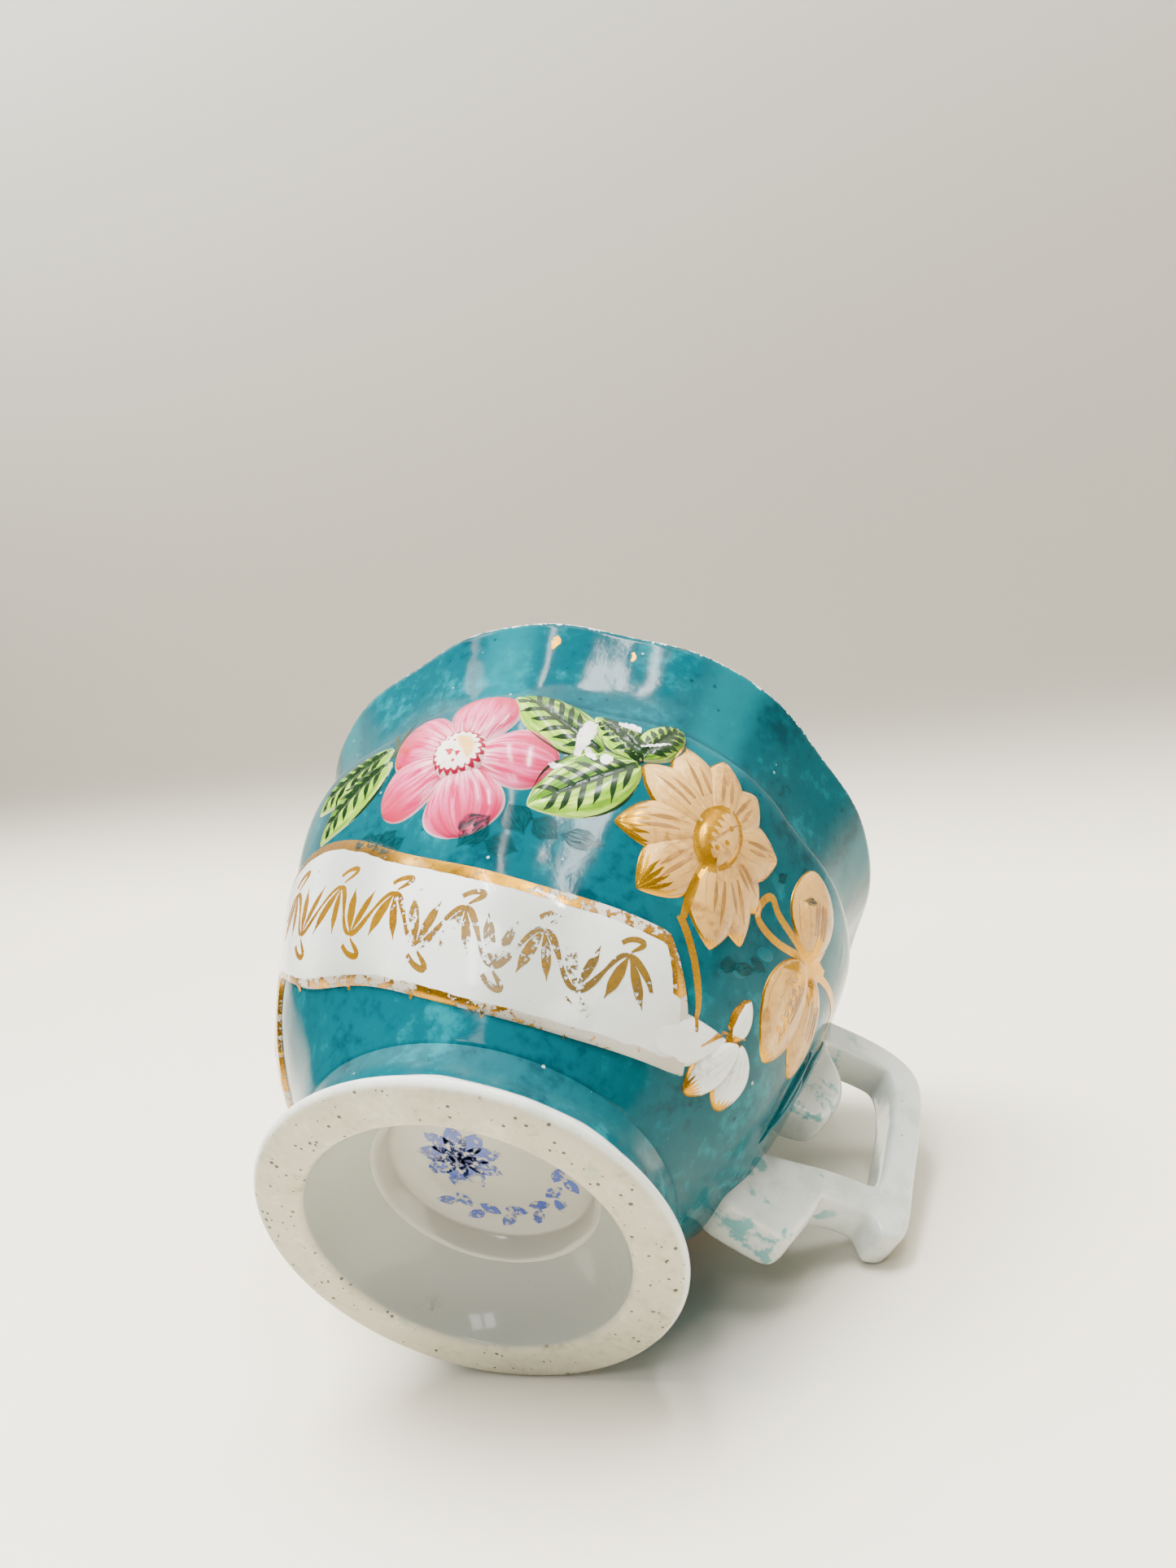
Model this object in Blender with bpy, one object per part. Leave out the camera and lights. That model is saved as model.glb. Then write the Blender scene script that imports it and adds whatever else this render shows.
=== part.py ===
"""A footed porcelain mug with a twig handle and raised flowers, standing on its foot.

The handle points to +X and the painted face looks to -Y. Lengths are in metres.
The last lines move everything so that the middle of the footprint stands on the origin.
"""

import math

import bmesh
import bpy
from mathutils import Matrix, Vector

MM = 0.001

# Overall sizes.
HEIGHT = 84.0 * MM
RIM_RADIUS = 51.8 * MM
BELLY_RADIUS = 48.1 * MM
FOOT_RADIUS = 30.3 * MM
WAIST_RADIUS = 27.4 * MM

# Clay thicknesses and the space left between pieces that the potter stuck together.
WALL = 3.4 * MM
RIM_WALL = 2.6 * MM
FLOOR_THICKNESS = 4.2 * MM
JOIN_GAP = 0.3 * MM

# Foot: the flat ring that it stands on, and the hollow inside the ring.
HOLLOW_RADIUS = 0.76 * FOOT_RADIUS
FLAT_OUTER_RADIUS = 0.925 * FOOT_RADIUS
FOOT_EDGE = 2.6 * MM
SEAT_HEIGHT = 0.122 * HEIGHT
SEAT_INNER_RADIUS = 0.535 * FOOT_RADIUS
RECESS_RADIUS = 0.505 * FOOT_RADIUS
RECESS_DEPTH = 3.0 * MM

# Eight soft flutes run down the wall; they are deepest at the rim and fade at the waist.
LOBES = 8
LOBE_DIP_ANGLE = math.radians(258.0)
LOBE_DEPTH = 0.60 * MM

# Outer wall: share of the height, share of the belly radius.
WALL_STATIONS = (
    (0.122, WAIST_RADIUS / BELLY_RADIUS),
    (0.19, 0.635),
    (0.30, 0.766),
    (0.43, 0.853),
    (0.60, 0.950),
    (0.705, 0.998),
    (0.748, 1.000),
    (0.783, 0.958),
    (0.825, 0.964),
    (0.91, 1.012),
    (1.0, RIM_RADIUS / BELLY_RADIUS),
)

# The shoulder turns tightly between these shares of the height, so it gets more rings.
SHOULDER_FROM = 0.64
SHOULDER_TO = 0.84

# Handle: how far the grip stands off the belly, and the section of the clay.
HANDLE_REACH = 18.5 * MM
HANDLE_THICK = 5.6 * MM
HANDLE_WIDE = 8.0 * MM
PAD_WIDE = 10.0 * MM

# Raised decoration.
RIBBON_THICK = 0.7 * MM
PETAL_THICK = 1.5 * MM
LEAF_THICK = 1.1 * MM
RIBBON_HALF_WIDTH = 0.096 * HEIGHT
RIBBON_LOW = 0.262 * HEIGHT
RIBBON_RISE = 0.285 * HEIGHT
RIBBON_LOW_ANGLE = 83.0
RIBBON_END_ANGLE = 107.5
RIBBON_CROWN = 12.0
RIBBON_END_LEAN = 10.0
RIBBON_END_TAPER = 0.14

AROUND = 88

WHITE_GLAZE = (0.78, 0.80, 0.79)
TEAL_GLAZE = (0.012, 0.265, 0.300)
BARE_CLAY = (0.62, 0.59, 0.51)
ROSE_PINK = (0.78, 0.28, 0.34)
LEAF_GREEN = (0.33, 0.55, 0.15)
PALE_PEACH = (0.72, 0.52, 0.32)


def clear_scene():
    for obj in list(bpy.data.objects):
        bpy.data.objects.remove(obj)


def ceramic(name, colour, roughness):
    material = bpy.data.materials.new(name)
    material.use_nodes = True
    shader = material.node_tree.nodes["Principled BSDF"]
    shader.inputs["Base Color"].default_value = (*colour, 1.0)
    shader.inputs["Roughness"].default_value = roughness
    material.diffuse_color = (*colour, 1.0)
    return material


def finish(name, bm, material):
    """Turns the bmesh into one smooth-shaded object whose faces all look outwards."""
    bmesh.ops.remove_doubles(bm, verts=bm.verts, dist=0.00002)
    bmesh.ops.recalc_face_normals(bm, faces=bm.faces)
    mesh = bpy.data.meshes.new(name)
    bm.to_mesh(mesh)
    bm.free()
    for face in mesh.polygons:
        face.use_smooth = True
    obj = bpy.data.objects.new(name, mesh)
    obj.data.materials.append(material)
    bpy.context.scene.collection.objects.link(obj)
    return obj


# ---------------------------------------------------------------- the thrown shapes


def smooth(value):
    value = min(max(value, 0.0), 1.0)
    return value * value * (3.0 - 2.0 * value)


def station_slope(index):
    before = WALL_STATIONS[max(index - 1, 0)]
    after = WALL_STATIONS[min(index + 1, len(WALL_STATIONS) - 1)]
    return (after[1] - before[1]) / (after[0] - before[0])


def wall_radius(height):
    """Radius of the wall before fluting, on a smooth curve through the stations."""
    share = min(max(height / HEIGHT, WALL_STATIONS[0][0]), 1.0)
    index = 0
    while index < len(WALL_STATIONS) - 2 and share > WALL_STATIONS[index + 1][0]:
        index += 1
    low = WALL_STATIONS[index]
    high = WALL_STATIONS[index + 1]
    span = high[0] - low[0]
    t = (share - low[0]) / span
    value = (2 * t**3 - 3 * t**2 + 1) * low[1]
    value += (t**3 - 2 * t**2 + t) * span * station_slope(index)
    value += (3 * t**2 - 2 * t**3) * high[1]
    value += (t**3 - t**2) * span * station_slope(index + 1)
    return value * BELLY_RADIUS


def flute(angle, height):
    """How far the flutes move the wall in or out at this angle and height."""
    turn = LOBES * (angle - LOBE_DIP_ANGLE)
    wave = -math.cos(turn) - 0.25 * math.cos(2 * turn)
    rise = smooth((height - SEAT_HEIGHT) / (0.45 * HEIGHT))
    return LOBE_DEPTH * wave * rise * (0.6 + 0.4 * height / HEIGHT)


def skin(angle, height, lift):
    """A point this far off the outside of the wall, straight out from its surface."""
    step = 0.2 * MM
    radius = wall_radius(height) + flute(angle, height)
    slope = (wall_radius(height + step) - wall_radius(height - step)) / (2 * step)
    length = math.hypot(1.0, slope)
    out = radius + lift / length
    return Vector(
        (out * math.cos(angle), out * math.sin(angle), height - lift * slope / length)
    )


def turned(profile):
    """Spins a closed profile of (radius, height) points once round the upright axis."""
    bm = bmesh.new()
    verts = [bm.verts.new((r, 0.0, z)) for r, z in profile]
    edges = [bm.edges.new(pair) for pair in zip(verts, verts[1:])]
    if profile[0][0] > 0.0:
        edges.append(bm.edges.new((verts[-1], verts[0])))
    bmesh.ops.spin(
        bm,
        geom=verts + edges,
        cent=(0, 0, 0),
        axis=(0, 0, 1),
        angle=math.tau,
        steps=AROUND,
        use_merge=True,
    )
    bmesh.ops.remove_doubles(bm, verts=bm.verts, dist=0.00002)
    return bm


def add_flutes(bm, share_of):
    for vert in bm.verts:
        radius = math.hypot(vert.co.x, vert.co.y)
        if radius < 1 * MM:
            continue
        angle = math.atan2(vert.co.y, vert.co.x)
        grown = radius + flute(angle, vert.co.z) * share_of(radius, vert.co.z)
        vert.co.x *= grown / radius
        vert.co.y *= grown / radius


def wall_heights():
    """Heights of the rings of the outer wall, closer together round the shoulder."""
    base = SEAT_HEIGHT + JOIN_GAP
    top = HEIGHT - RIM_WALL / 2
    stops = (base, SHOULDER_FROM * HEIGHT, SHOULDER_TO * HEIGHT, top)
    heights = []
    for low, high, steps in zip(stops, stops[1:], (12, 11, 5)):
        heights += [low + (high - low) * i / steps for i in range(steps)]
    return heights + [top]


def bowl_profile():
    """Runs from the middle of the base up the outside, over the rim and down the inside."""
    base = SEAT_HEIGHT + JOIN_GAP
    ceiling = base + RECESS_DEPTH
    floor = ceiling + FLOOR_THICKNESS
    points = [(0.0, ceiling), (RECESS_RADIUS, ceiling), (RECESS_RADIUS + 0.4 * MM, base)]
    points += [(wall_radius(height), height) for height in wall_heights()]
    lip = wall_radius(HEIGHT) - RIM_WALL / 2
    for turn in (50, 90, 130):
        reach = RIM_WALL / 2
        points.append(
            (
                lip + reach * math.cos(math.radians(turn)),
                HEIGHT - reach + reach * math.sin(math.radians(turn)),
            )
        )
    top = 0.40 * HEIGHT
    inner_steps = 12
    for i in range(inner_steps):
        height = HEIGHT - RIM_WALL / 2 - (HEIGHT - RIM_WALL / 2 - top) * i / inner_steps
        thick = RIM_WALL + (WALL - RIM_WALL) * smooth((HEIGHT - height) / (0.2 * HEIGHT))
        points.append((wall_radius(height) - thick, height))
    side = wall_radius(top) - WALL
    for i in range(9):
        turn = math.radians(90.0 * i / 9)
        share = math.cos(turn) ** 0.8
        points.append((side * share, top - (top - floor) * math.sin(turn) ** 0.8))
    points.append((0.0, floor))
    return points


def foot_profile():
    """A closed ring: the flat it stands on, the rounded edge, the waist and the hollow."""
    edge_height = FOOT_EDGE / 2
    points = [(HOLLOW_RADIUS + 0.5 * MM, 0.0), (FLAT_OUTER_RADIUS, 0.0)]
    for turn in (-60, -30, 0, 30, 60):
        reach = FOOT_RADIUS - FLAT_OUTER_RADIUS
        points.append(
            (
                FLAT_OUTER_RADIUS + reach * math.cos(math.radians(turn)),
                edge_height + edge_height * math.sin(math.radians(turn)),
            )
        )
    for i in range(1, 6):
        share = i / 5
        height = FOOT_EDGE + (SEAT_HEIGHT - FOOT_EDGE) * share
        cove = (1.0 - share) ** 2.4
        start = FLAT_OUTER_RADIUS + 0.4 * (FOOT_RADIUS - FLAT_OUTER_RADIUS)
        points.append((WAIST_RADIUS + (start - WAIST_RADIUS) * cove, height))
    points.append((SEAT_INNER_RADIUS, SEAT_HEIGHT))
    for i in range(1, 7):
        share = i / 7
        bulge = math.sin(math.pi * share) * 1.1 * MM
        radius = SEAT_INNER_RADIUS + (HOLLOW_RADIUS - SEAT_INNER_RADIUS) * share
        points.append((radius + bulge, SEAT_HEIGHT * (1.0 - share)))
    return points


# ---------------------------------------------------------------- the handle


def handle_point(out, up):
    """A point of the handle: share of the reach past the belly, share of the height."""
    return Vector((BELLY_RADIUS + out * HANDLE_REACH, 0.0, up * HEIGHT))


def strip(bm, pairs, start=None):
    """Draws a strip of faces through pairs of points by extruding one edge again and again."""
    if start is None:
        edge = bm.edges.new([bm.verts.new(point) for point in pairs[0]])
        pairs = pairs[1:]
    else:
        edge = start
    for first, second in pairs:
        ends = list(edge.verts)
        made = bmesh.ops.extrude_edge_only(bm, edges=[edge])["geom"]
        new = [item for item in made if isinstance(item, bmesh.types.BMVert)]
        if (first - ends[0].co).length + (second - ends[1].co).length > (
            first - ends[1].co
        ).length + (second - ends[0].co).length:
            ends.reverse()
        if (new[0].co - ends[0].co).length > (new[0].co - ends[1].co).length:
            new.reverse()
        new[0].co = first
        new[1].co = second
        edge = next(item for item in made if isinstance(item, bmesh.types.BMEdge)
                    and set(item.verts) == set(new))
    return edge


def edge_between(bm, first, second):
    def nearest(point):
        return min(bm.verts, key=lambda vert: (vert.co - point).length)

    pair = {nearest(first), nearest(second)}
    return next(edge for edge in bm.edges if set(edge.verts) == pair)


def make_handle(material):
    """An angular twig: two arms, a leaning grip, a spur at its heel and two pads on the belly."""
    thin = HANDLE_THICK / HEIGHT
    wide = HANDLE_THICK / HANDLE_REACH
    top = 0.775
    low = 0.405
    arm = [
        (handle_point(-0.62, top - thin - 0.01), handle_point(-0.62, top - 0.005)),
        (handle_point(-0.02, top - thin), handle_point(-0.02, top)),
        (handle_point(0.32, top - thin + 0.006), handle_point(0.34, top + 0.008)),
        (handle_point(0.62, top - thin), handle_point(0.70, top - 0.004)),
        (handle_point(1.0 - 1.05 * wide, 0.672), handle_point(1.0, 0.728)),
        (handle_point(0.985 - wide, 0.60), handle_point(0.985, 0.625)),
        (handle_point(0.925 - wide, 0.50), handle_point(0.925, 0.51)),
        (handle_point(0.88 - wide, low + 0.030), handle_point(0.87, low + 0.010)),
    ]
    heel = (handle_point(0.82 - wide, low + 0.004), handle_point(0.86, low - 0.052))
    lower = [
        heel,
        (handle_point(0.43, low), handle_point(0.47, low - thin)),
        (handle_point(0.24, low), handle_point(0.24, low - thin)),
        (handle_point(0.02, low - 0.008), handle_point(0.04, low - thin - 0.012)),
        (handle_point(-0.20, low - 0.020), handle_point(0.00, low - thin - 0.050)),
        (handle_point(-0.48, low - 0.022), handle_point(-0.20, low - thin - 0.132)),
        (handle_point(-0.95, low - 0.050), handle_point(-0.84, low - thin - 0.105)),
    ]
    bm = bmesh.new()
    strip(bm, arm + lower)
    spur = edge_between(bm, heel[1], lower[1][1])
    strip(bm, [(handle_point(0.77, 0.306), handle_point(0.57, 0.300))], spur)
    lobe = edge_between(bm, arm[0][0], arm[1][0])
    strip(
        bm,
        [
            (handle_point(-0.66, 0.64), handle_point(0.24, 0.640)),
            (handle_point(-0.78, 0.575), handle_point(0.20, 0.575)),
            (handle_point(-0.86, 0.515), handle_point(0.04, 0.505)),
        ],
        lobe,
    )
    bmesh.ops.recalc_face_normals(bm, faces=bm.faces)
    flat = list(bm.faces)
    made = bmesh.ops.extrude_face_region(bm, geom=flat, use_keep_orig=True)["geom"]
    raised = [item for item in made if isinstance(item, bmesh.types.BMVert)]
    for vert in bm.verts:
        pad = smooth((BELLY_RADIUS + 0.12 * HANDLE_REACH - vert.co.x) / (0.2 * HANDLE_REACH))
        width = HANDLE_WIDE + (PAD_WIDE - HANDLE_WIDE) * pad
        vert.co.y = -width / 2
    for vert in raised:
        vert.co.y = -vert.co.y
    bmesh.ops.recalc_face_normals(bm, faces=bm.faces)
    crease = bm.edges.layers.float.new("crease_edge")
    for edge in bm.edges:
        if edge.calc_face_angle(0.0) > math.radians(60):
            edge[crease] = 0.38
    handle = finish("handle", bm, material)
    surface = handle.modifiers.new("rounding", "SUBSURF")
    surface.levels = 2
    surface.render_levels = 2
    surface.uv_smooth = "NONE"
    return handle


def wall_cutter():
    """The outside of the wall one join gap larger, closed: it trims what leans on the bowl."""
    bm = bmesh.new()
    heights = wall_heights()
    rows = len(heights) - 1
    bmesh.ops.create_grid(bm, x_segments=AROUND, y_segments=rows, size=0.5)
    for vert in bm.verts:
        angle = math.tau * (vert.co.x + 0.5)
        row = round((vert.co.y + 0.5) * rows)
        vert.co = skin(angle, heights[row], JOIN_GAP)
    bmesh.ops.remove_doubles(bm, verts=bm.verts, dist=0.00002)
    bmesh.ops.holes_fill(bm, edges=bm.edges, sides=0)
    cutter = finish("wall_cutter", bm, ceramic("cutter", (0.5, 0.5, 0.5), 0.5))
    cutter.hide_render = True
    cutter.display_type = "WIRE"
    return cutter


# ---------------------------------------------------------------- raised decoration


def wrap(bm, angle, height, mirrored):
    """Lays a flat piece on the wall: x runs round, y runs up and z stands off the wall."""
    side = -1.0 if mirrored else 1.0
    for vert in bm.verts:
        up = height + vert.co.y
        round_wall = angle + vert.co.x / wall_radius(up)
        vert.co = skin(side * round_wall, up, JOIN_GAP + vert.co.z)


def thicken(bm, thickness, edge_share):
    """Gives a flat grid a flat back on z = 0 and a front that falls away towards its border."""
    border = {vert for edge in bm.edges if edge.is_boundary for vert in edge.verts}
    front = {vert: (edge_share if vert in border else 1.0) * thickness for vert in bm.verts}
    top = list(bm.faces)
    made = bmesh.ops.extrude_face_region(bm, geom=top, use_keep_orig=True)["geom"]
    back = [item for item in made if isinstance(item, bmesh.types.BMVert)]
    for vert, lift in front.items():
        vert.co.z += lift
    for vert in back:
        vert.co.z = 0.0


def flower(name, angle, height, radius, petals, turn, depth, material, mirrored):
    """Round-ended petals on one disc: a grid wrapped round the middle of the flower."""
    bm = bmesh.new()
    spokes = petals * 8
    rings = 4
    bmesh.ops.create_grid(bm, x_segments=spokes, y_segments=rings, size=0.5)
    for vert in bm.verts:
        spoke = math.tau * (vert.co.x + 0.5)
        ring = vert.co.y + 0.5
        petal = abs(math.cos(petals * spoke / 2.0)) ** 0.45
        reach = radius * ring * (1.0 - depth + depth * petal * ring**0.5)
        vert.co = Vector((reach * math.cos(spoke + turn), reach * math.sin(spoke + turn), 0.0))
    bmesh.ops.remove_doubles(bm, verts=bm.verts, dist=0.00002)
    thicken(bm, PETAL_THICK, 0.45)
    wrap(bm, angle, height, mirrored)
    return finish(name, bm, material)


def leaf(name, base, tip, width, material, mirrored, thickness=LEAF_THICK):
    """A pointed leaf between two places on the wall, each an angle and a share of the height."""
    bm = bmesh.new()
    along = 10
    bmesh.ops.create_grid(bm, x_segments=along, y_segments=4, size=0.5)
    for vert in bm.verts:
        share = vert.co.x + 0.5
        half = 0.5 * width * (math.sin(math.pi * share**0.85)) ** 0.75
        across = vert.co.y * 2.0 * half
        vert.co = Vector((share, across, 0.0))
    bmesh.ops.remove_doubles(bm, verts=bm.verts, dist=0.00002)
    start = Vector((0.0, base[1] * HEIGHT))
    mean = wall_radius(0.5 * (base[1] + tip[1]) * HEIGHT)
    run = Vector((math.radians(tip[0] - base[0]) * mean, (tip[1] - base[1]) * HEIGHT))
    normal = Vector((-run.y, run.x)).normalized()
    for vert in bm.verts:
        place = run * vert.co.x + normal * vert.co.y
        vert.co = Vector((place.x, place.y, 0.0))
    thicken(bm, thickness, 0.4)
    wrap(bm, math.radians(base[0]), start.y, mirrored)
    return finish(name, bm, material)


def ribbon_middle(off):
    """Height of the ribbon's middle line, by the angle in degrees away from the front."""
    rounded = math.hypot(off, RIBBON_CROWN)
    climb = max(RIBBON_LOW_ANGLE - rounded, 0.0) / RIBBON_LOW_ANGLE
    lift = max(off - RIBBON_LOW_ANGLE, 0.0) / 30.0
    return RIBBON_LOW + RIBBON_RISE * climb**2.2 + 0.045 * HEIGHT * lift**2


def make_ribbon(material):
    """A flat band round the front of the bowl, highest at the front and slanted at both ends."""
    bm = bmesh.new()
    along = 84
    across = 4
    bmesh.ops.create_grid(bm, x_segments=along, y_segments=across, size=0.5)
    for vert in bm.verts:
        share = vert.co.x * 2.0
        lean = (0.5 - vert.co.y) * RIBBON_END_LEAN * abs(share) ** 8
        off = share * RIBBON_END_ANGLE
        step = 0.5
        middle = ribbon_middle(abs(off))
        rise = ribbon_middle(abs(off + step)) - ribbon_middle(abs(off - step))
        run = math.radians(2 * step) * wall_radius(middle)
        slant = math.atan2(rise, run)
        half = RIBBON_HALF_WIDTH * (1.0 - RIBBON_END_TAPER * abs(share) ** 8)
        up = middle + 2.0 * vert.co.y * half * math.cos(slant)
        shift = 2.0 * vert.co.y * half * math.sin(slant) / wall_radius(middle)
        round_wall = math.pi + math.radians(off + math.copysign(lean, off)) - shift
        vert.co = Vector((round_wall, up, 0.0))
    thicken(bm, RIBBON_THICK, 0.6)
    for vert in bm.verts:
        vert.co = skin(vert.co.x, vert.co.y, JOIN_GAP + vert.co.z)
    return finish("ribbon", bm, material)


def decorate(side, mirrored, pink, green, peach, white):
    """One face of the mug: a rose with leaves, a gilt blossom and spray, and a bud."""
    flower("rose_" + side, math.radians(234.3), 0.590 * HEIGHT, 12.9 * MM, 5,
           math.radians(1), 0.40, pink, mirrored)
    leaf("leaf_left_upper_" + side, (214.0, 0.690), (195.5, 0.640), 6.2 * MM, green, mirrored)
    leaf("leaf_left_lower_" + side, (215.0, 0.622), (199.0, 0.560), 6.4 * MM, green, mirrored)
    leaf("leaf_long_" + side, (262.0, 0.668), (243.8, 0.722), 6.4 * MM, green, mirrored)
    leaf("leaf_small_" + side, (265.0, 0.700), (273.0, 0.726), 3.6 * MM, green, mirrored)
    leaf("leaf_broad_" + side, (264.0, 0.615), (251.0, 0.500), 8.2 * MM, green, mirrored)
    flower("gilt_blossom_" + side, math.radians(285.8), 0.562 * HEIGHT, 14.5 * MM, 10,
           math.radians(17), 0.38, peach, mirrored)
    leaf("spray_upper_" + side, (317.5, 0.560), (309.0, 0.690), 7.0 * MM, peach, mirrored)
    leaf("spray_left_" + side, (314.5, 0.520), (319.5, 0.345), 7.2 * MM, peach, mirrored)
    leaf("spray_right_" + side, (323.0, 0.535), (333.0, 0.380), 6.4 * MM, peach, mirrored)
    leaf("bud_" + side, (308.5, 0.305), (315.0, 0.205), 7.2 * MM, white, mirrored, PETAL_THICK)
    leaf("bud_leaf_" + side, (307.0, 0.330), (311.5, 0.395), 3.0 * MM, white, mirrored)


def footprint_shift(objects):
    """The move that brings the middle of the whole box to x = y = 0 and its base to z = 0."""
    graph = bpy.context.evaluated_depsgraph_get()
    low = Vector((1e9, 1e9, 1e9))
    high = -low
    for obj in objects:
        evaluated = obj.evaluated_get(graph)
        for vert in evaluated.data.vertices:
            place = evaluated.matrix_world @ vert.co
            for axis in range(3):
                low[axis] = min(low[axis], place[axis])
                high[axis] = max(high[axis], place[axis])
    return -Vector(((low.x + high.x) / 2, (low.y + high.y) / 2, low.z))


clear_scene()
white = ceramic("white_glaze", WHITE_GLAZE, 0.12)
teal = ceramic("teal_glaze", TEAL_GLAZE, 0.10)
bare = ceramic("bare_clay", BARE_CLAY, 0.55)
pink = ceramic("rose_pink", ROSE_PINK, 0.18)
green = ceramic("leaf_green", LEAF_GREEN, 0.20)
peach = ceramic("pale_peach", PALE_PEACH, 0.30)

bowl_shape = turned(bowl_profile())
add_flutes(bowl_shape, lambda radius, height: 1.0)
bowl = finish("bowl", bowl_shape, teal)

foot = finish("foot", turned(foot_profile()), bare)

ribbon = make_ribbon(white)
decorate("front", False, pink, green, peach, white)
decorate("back", True, pink, green, peach, white)

handle = make_handle(white)
trim = handle.modifiers.new("trim_to_wall", "BOOLEAN")
trim.operation = "DIFFERENCE"
trim.solver = "EXACT"
trim.object = wall_cutter()

bpy.context.view_layer.update()
pieces = [obj for obj in bpy.data.objects if obj.type == "MESH" and not obj.hide_render]
shift = footprint_shift(pieces)
for obj in bpy.data.objects:
    obj.matrix_world = Matrix.Translation(shift) @ obj.matrix_world
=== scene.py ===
# %% [markdown]
# # A footed shaving mug in turquoise, white and worn gold
#
# The mug is cast porcelain. It has a fluted bowl on a hollow foot, a handle shaped like a twig,
# and raised flowers that were painted by hand before the last firing. This lesson makes the
# finished look of each piece around a plain engineering model, which stays as it is and gives
# every size. First the frame is loaded and measured.

# %% Load the frame
import math

import bmesh
import bpy
from mathutils import Matrix, Vector
from mathutils.bvhtree import BVHTree


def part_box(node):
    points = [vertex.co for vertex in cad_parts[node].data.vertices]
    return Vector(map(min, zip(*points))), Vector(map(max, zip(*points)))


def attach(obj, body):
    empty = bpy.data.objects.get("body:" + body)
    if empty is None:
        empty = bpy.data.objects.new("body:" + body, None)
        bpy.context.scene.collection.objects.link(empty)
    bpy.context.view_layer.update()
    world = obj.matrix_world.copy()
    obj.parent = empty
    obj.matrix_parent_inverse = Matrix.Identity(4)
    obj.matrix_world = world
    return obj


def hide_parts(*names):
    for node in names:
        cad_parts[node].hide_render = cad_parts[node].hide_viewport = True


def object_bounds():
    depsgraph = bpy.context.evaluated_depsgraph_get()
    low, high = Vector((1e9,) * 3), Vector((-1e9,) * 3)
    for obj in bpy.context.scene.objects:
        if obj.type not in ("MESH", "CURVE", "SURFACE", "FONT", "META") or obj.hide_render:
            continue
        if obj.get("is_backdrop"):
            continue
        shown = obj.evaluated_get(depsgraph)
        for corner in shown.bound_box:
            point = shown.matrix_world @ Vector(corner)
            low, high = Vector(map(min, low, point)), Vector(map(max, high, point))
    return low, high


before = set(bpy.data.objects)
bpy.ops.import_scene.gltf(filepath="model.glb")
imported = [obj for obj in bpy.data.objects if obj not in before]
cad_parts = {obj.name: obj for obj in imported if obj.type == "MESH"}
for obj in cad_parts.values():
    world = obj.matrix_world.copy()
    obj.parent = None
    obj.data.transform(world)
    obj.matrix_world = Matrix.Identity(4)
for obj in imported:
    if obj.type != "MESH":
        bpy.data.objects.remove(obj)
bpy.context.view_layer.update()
MM = 0.001
foot_low, foot_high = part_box("foot")
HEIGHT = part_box("bowl")[1].z
AXIS_X = (foot_low.x + foot_high.x) / 2
print("nodes:", len(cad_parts), "height mm:", round(HEIGHT / MM, 1))
print("axis of the bowl at x mm:", round(AXIS_X / MM, 2))

# %% [markdown]
# ## The wall, as a sum
#
# Everything raised or painted on the mug follows its wall, so the wall is written once as a sum:
# a smooth curve through a few stations gives the radius at each height, and eight soft flutes
# move it in and out. A place on the wall is an angle round the axis, measured from the handle,
# and a share of the height. Paint, petals and ribbon are all laid with the same function.

# %% The wall as a function
BELLY_RADIUS = 48.1 * MM
RIM_RADIUS = 51.8 * MM
WAIST_RADIUS = 27.4 * MM
FOOT_RADIUS = (foot_high.x - foot_low.x) / 2
SEAT_HEIGHT = 0.122 * HEIGHT
WALL = 3.4 * MM
RIM_WALL = 2.6 * MM
LOBES = 8
LOBE_DIP_ANGLE = math.radians(258.0)
LOBE_DEPTH = 0.60 * MM
WALL_STATIONS = (
    (0.122, WAIST_RADIUS / BELLY_RADIUS),
    (0.19, 0.635),
    (0.30, 0.766),
    (0.43, 0.853),
    (0.60, 0.950),
    (0.705, 0.998),
    (0.748, 1.000),
    (0.783, 0.958),
    (0.825, 0.964),
    (0.91, 1.012),
    (1.0, RIM_RADIUS / BELLY_RADIUS),
)


def smooth(value):
    value = min(max(value, 0.0), 1.0)
    return value * value * (3.0 - 2.0 * value)


def station_slope(index):
    before = WALL_STATIONS[max(index - 1, 0)]
    after = WALL_STATIONS[min(index + 1, len(WALL_STATIONS) - 1)]
    return (after[1] - before[1]) / (after[0] - before[0])


def wall_radius(height):
    share = min(max(height / HEIGHT, WALL_STATIONS[0][0]), 1.0)
    index = 0
    while index < len(WALL_STATIONS) - 2 and share > WALL_STATIONS[index + 1][0]:
        index += 1
    low = WALL_STATIONS[index]
    high = WALL_STATIONS[index + 1]
    span = high[0] - low[0]
    t = (share - low[0]) / span
    value = (2 * t**3 - 3 * t**2 + 1) * low[1]
    value += (t**3 - 2 * t**2 + t) * span * station_slope(index)
    value += (3 * t**2 - 2 * t**3) * high[1]
    value += (t**3 - t**2) * span * station_slope(index + 1)
    return value * BELLY_RADIUS


def flute(angle, height):
    turn = LOBES * (angle - LOBE_DIP_ANGLE)
    wave = -math.cos(turn) - 0.25 * math.cos(2 * turn)
    rise = smooth((height - SEAT_HEIGHT) / (0.45 * HEIGHT))
    return LOBE_DEPTH * wave * rise * (0.6 + 0.4 * height / HEIGHT)


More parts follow.
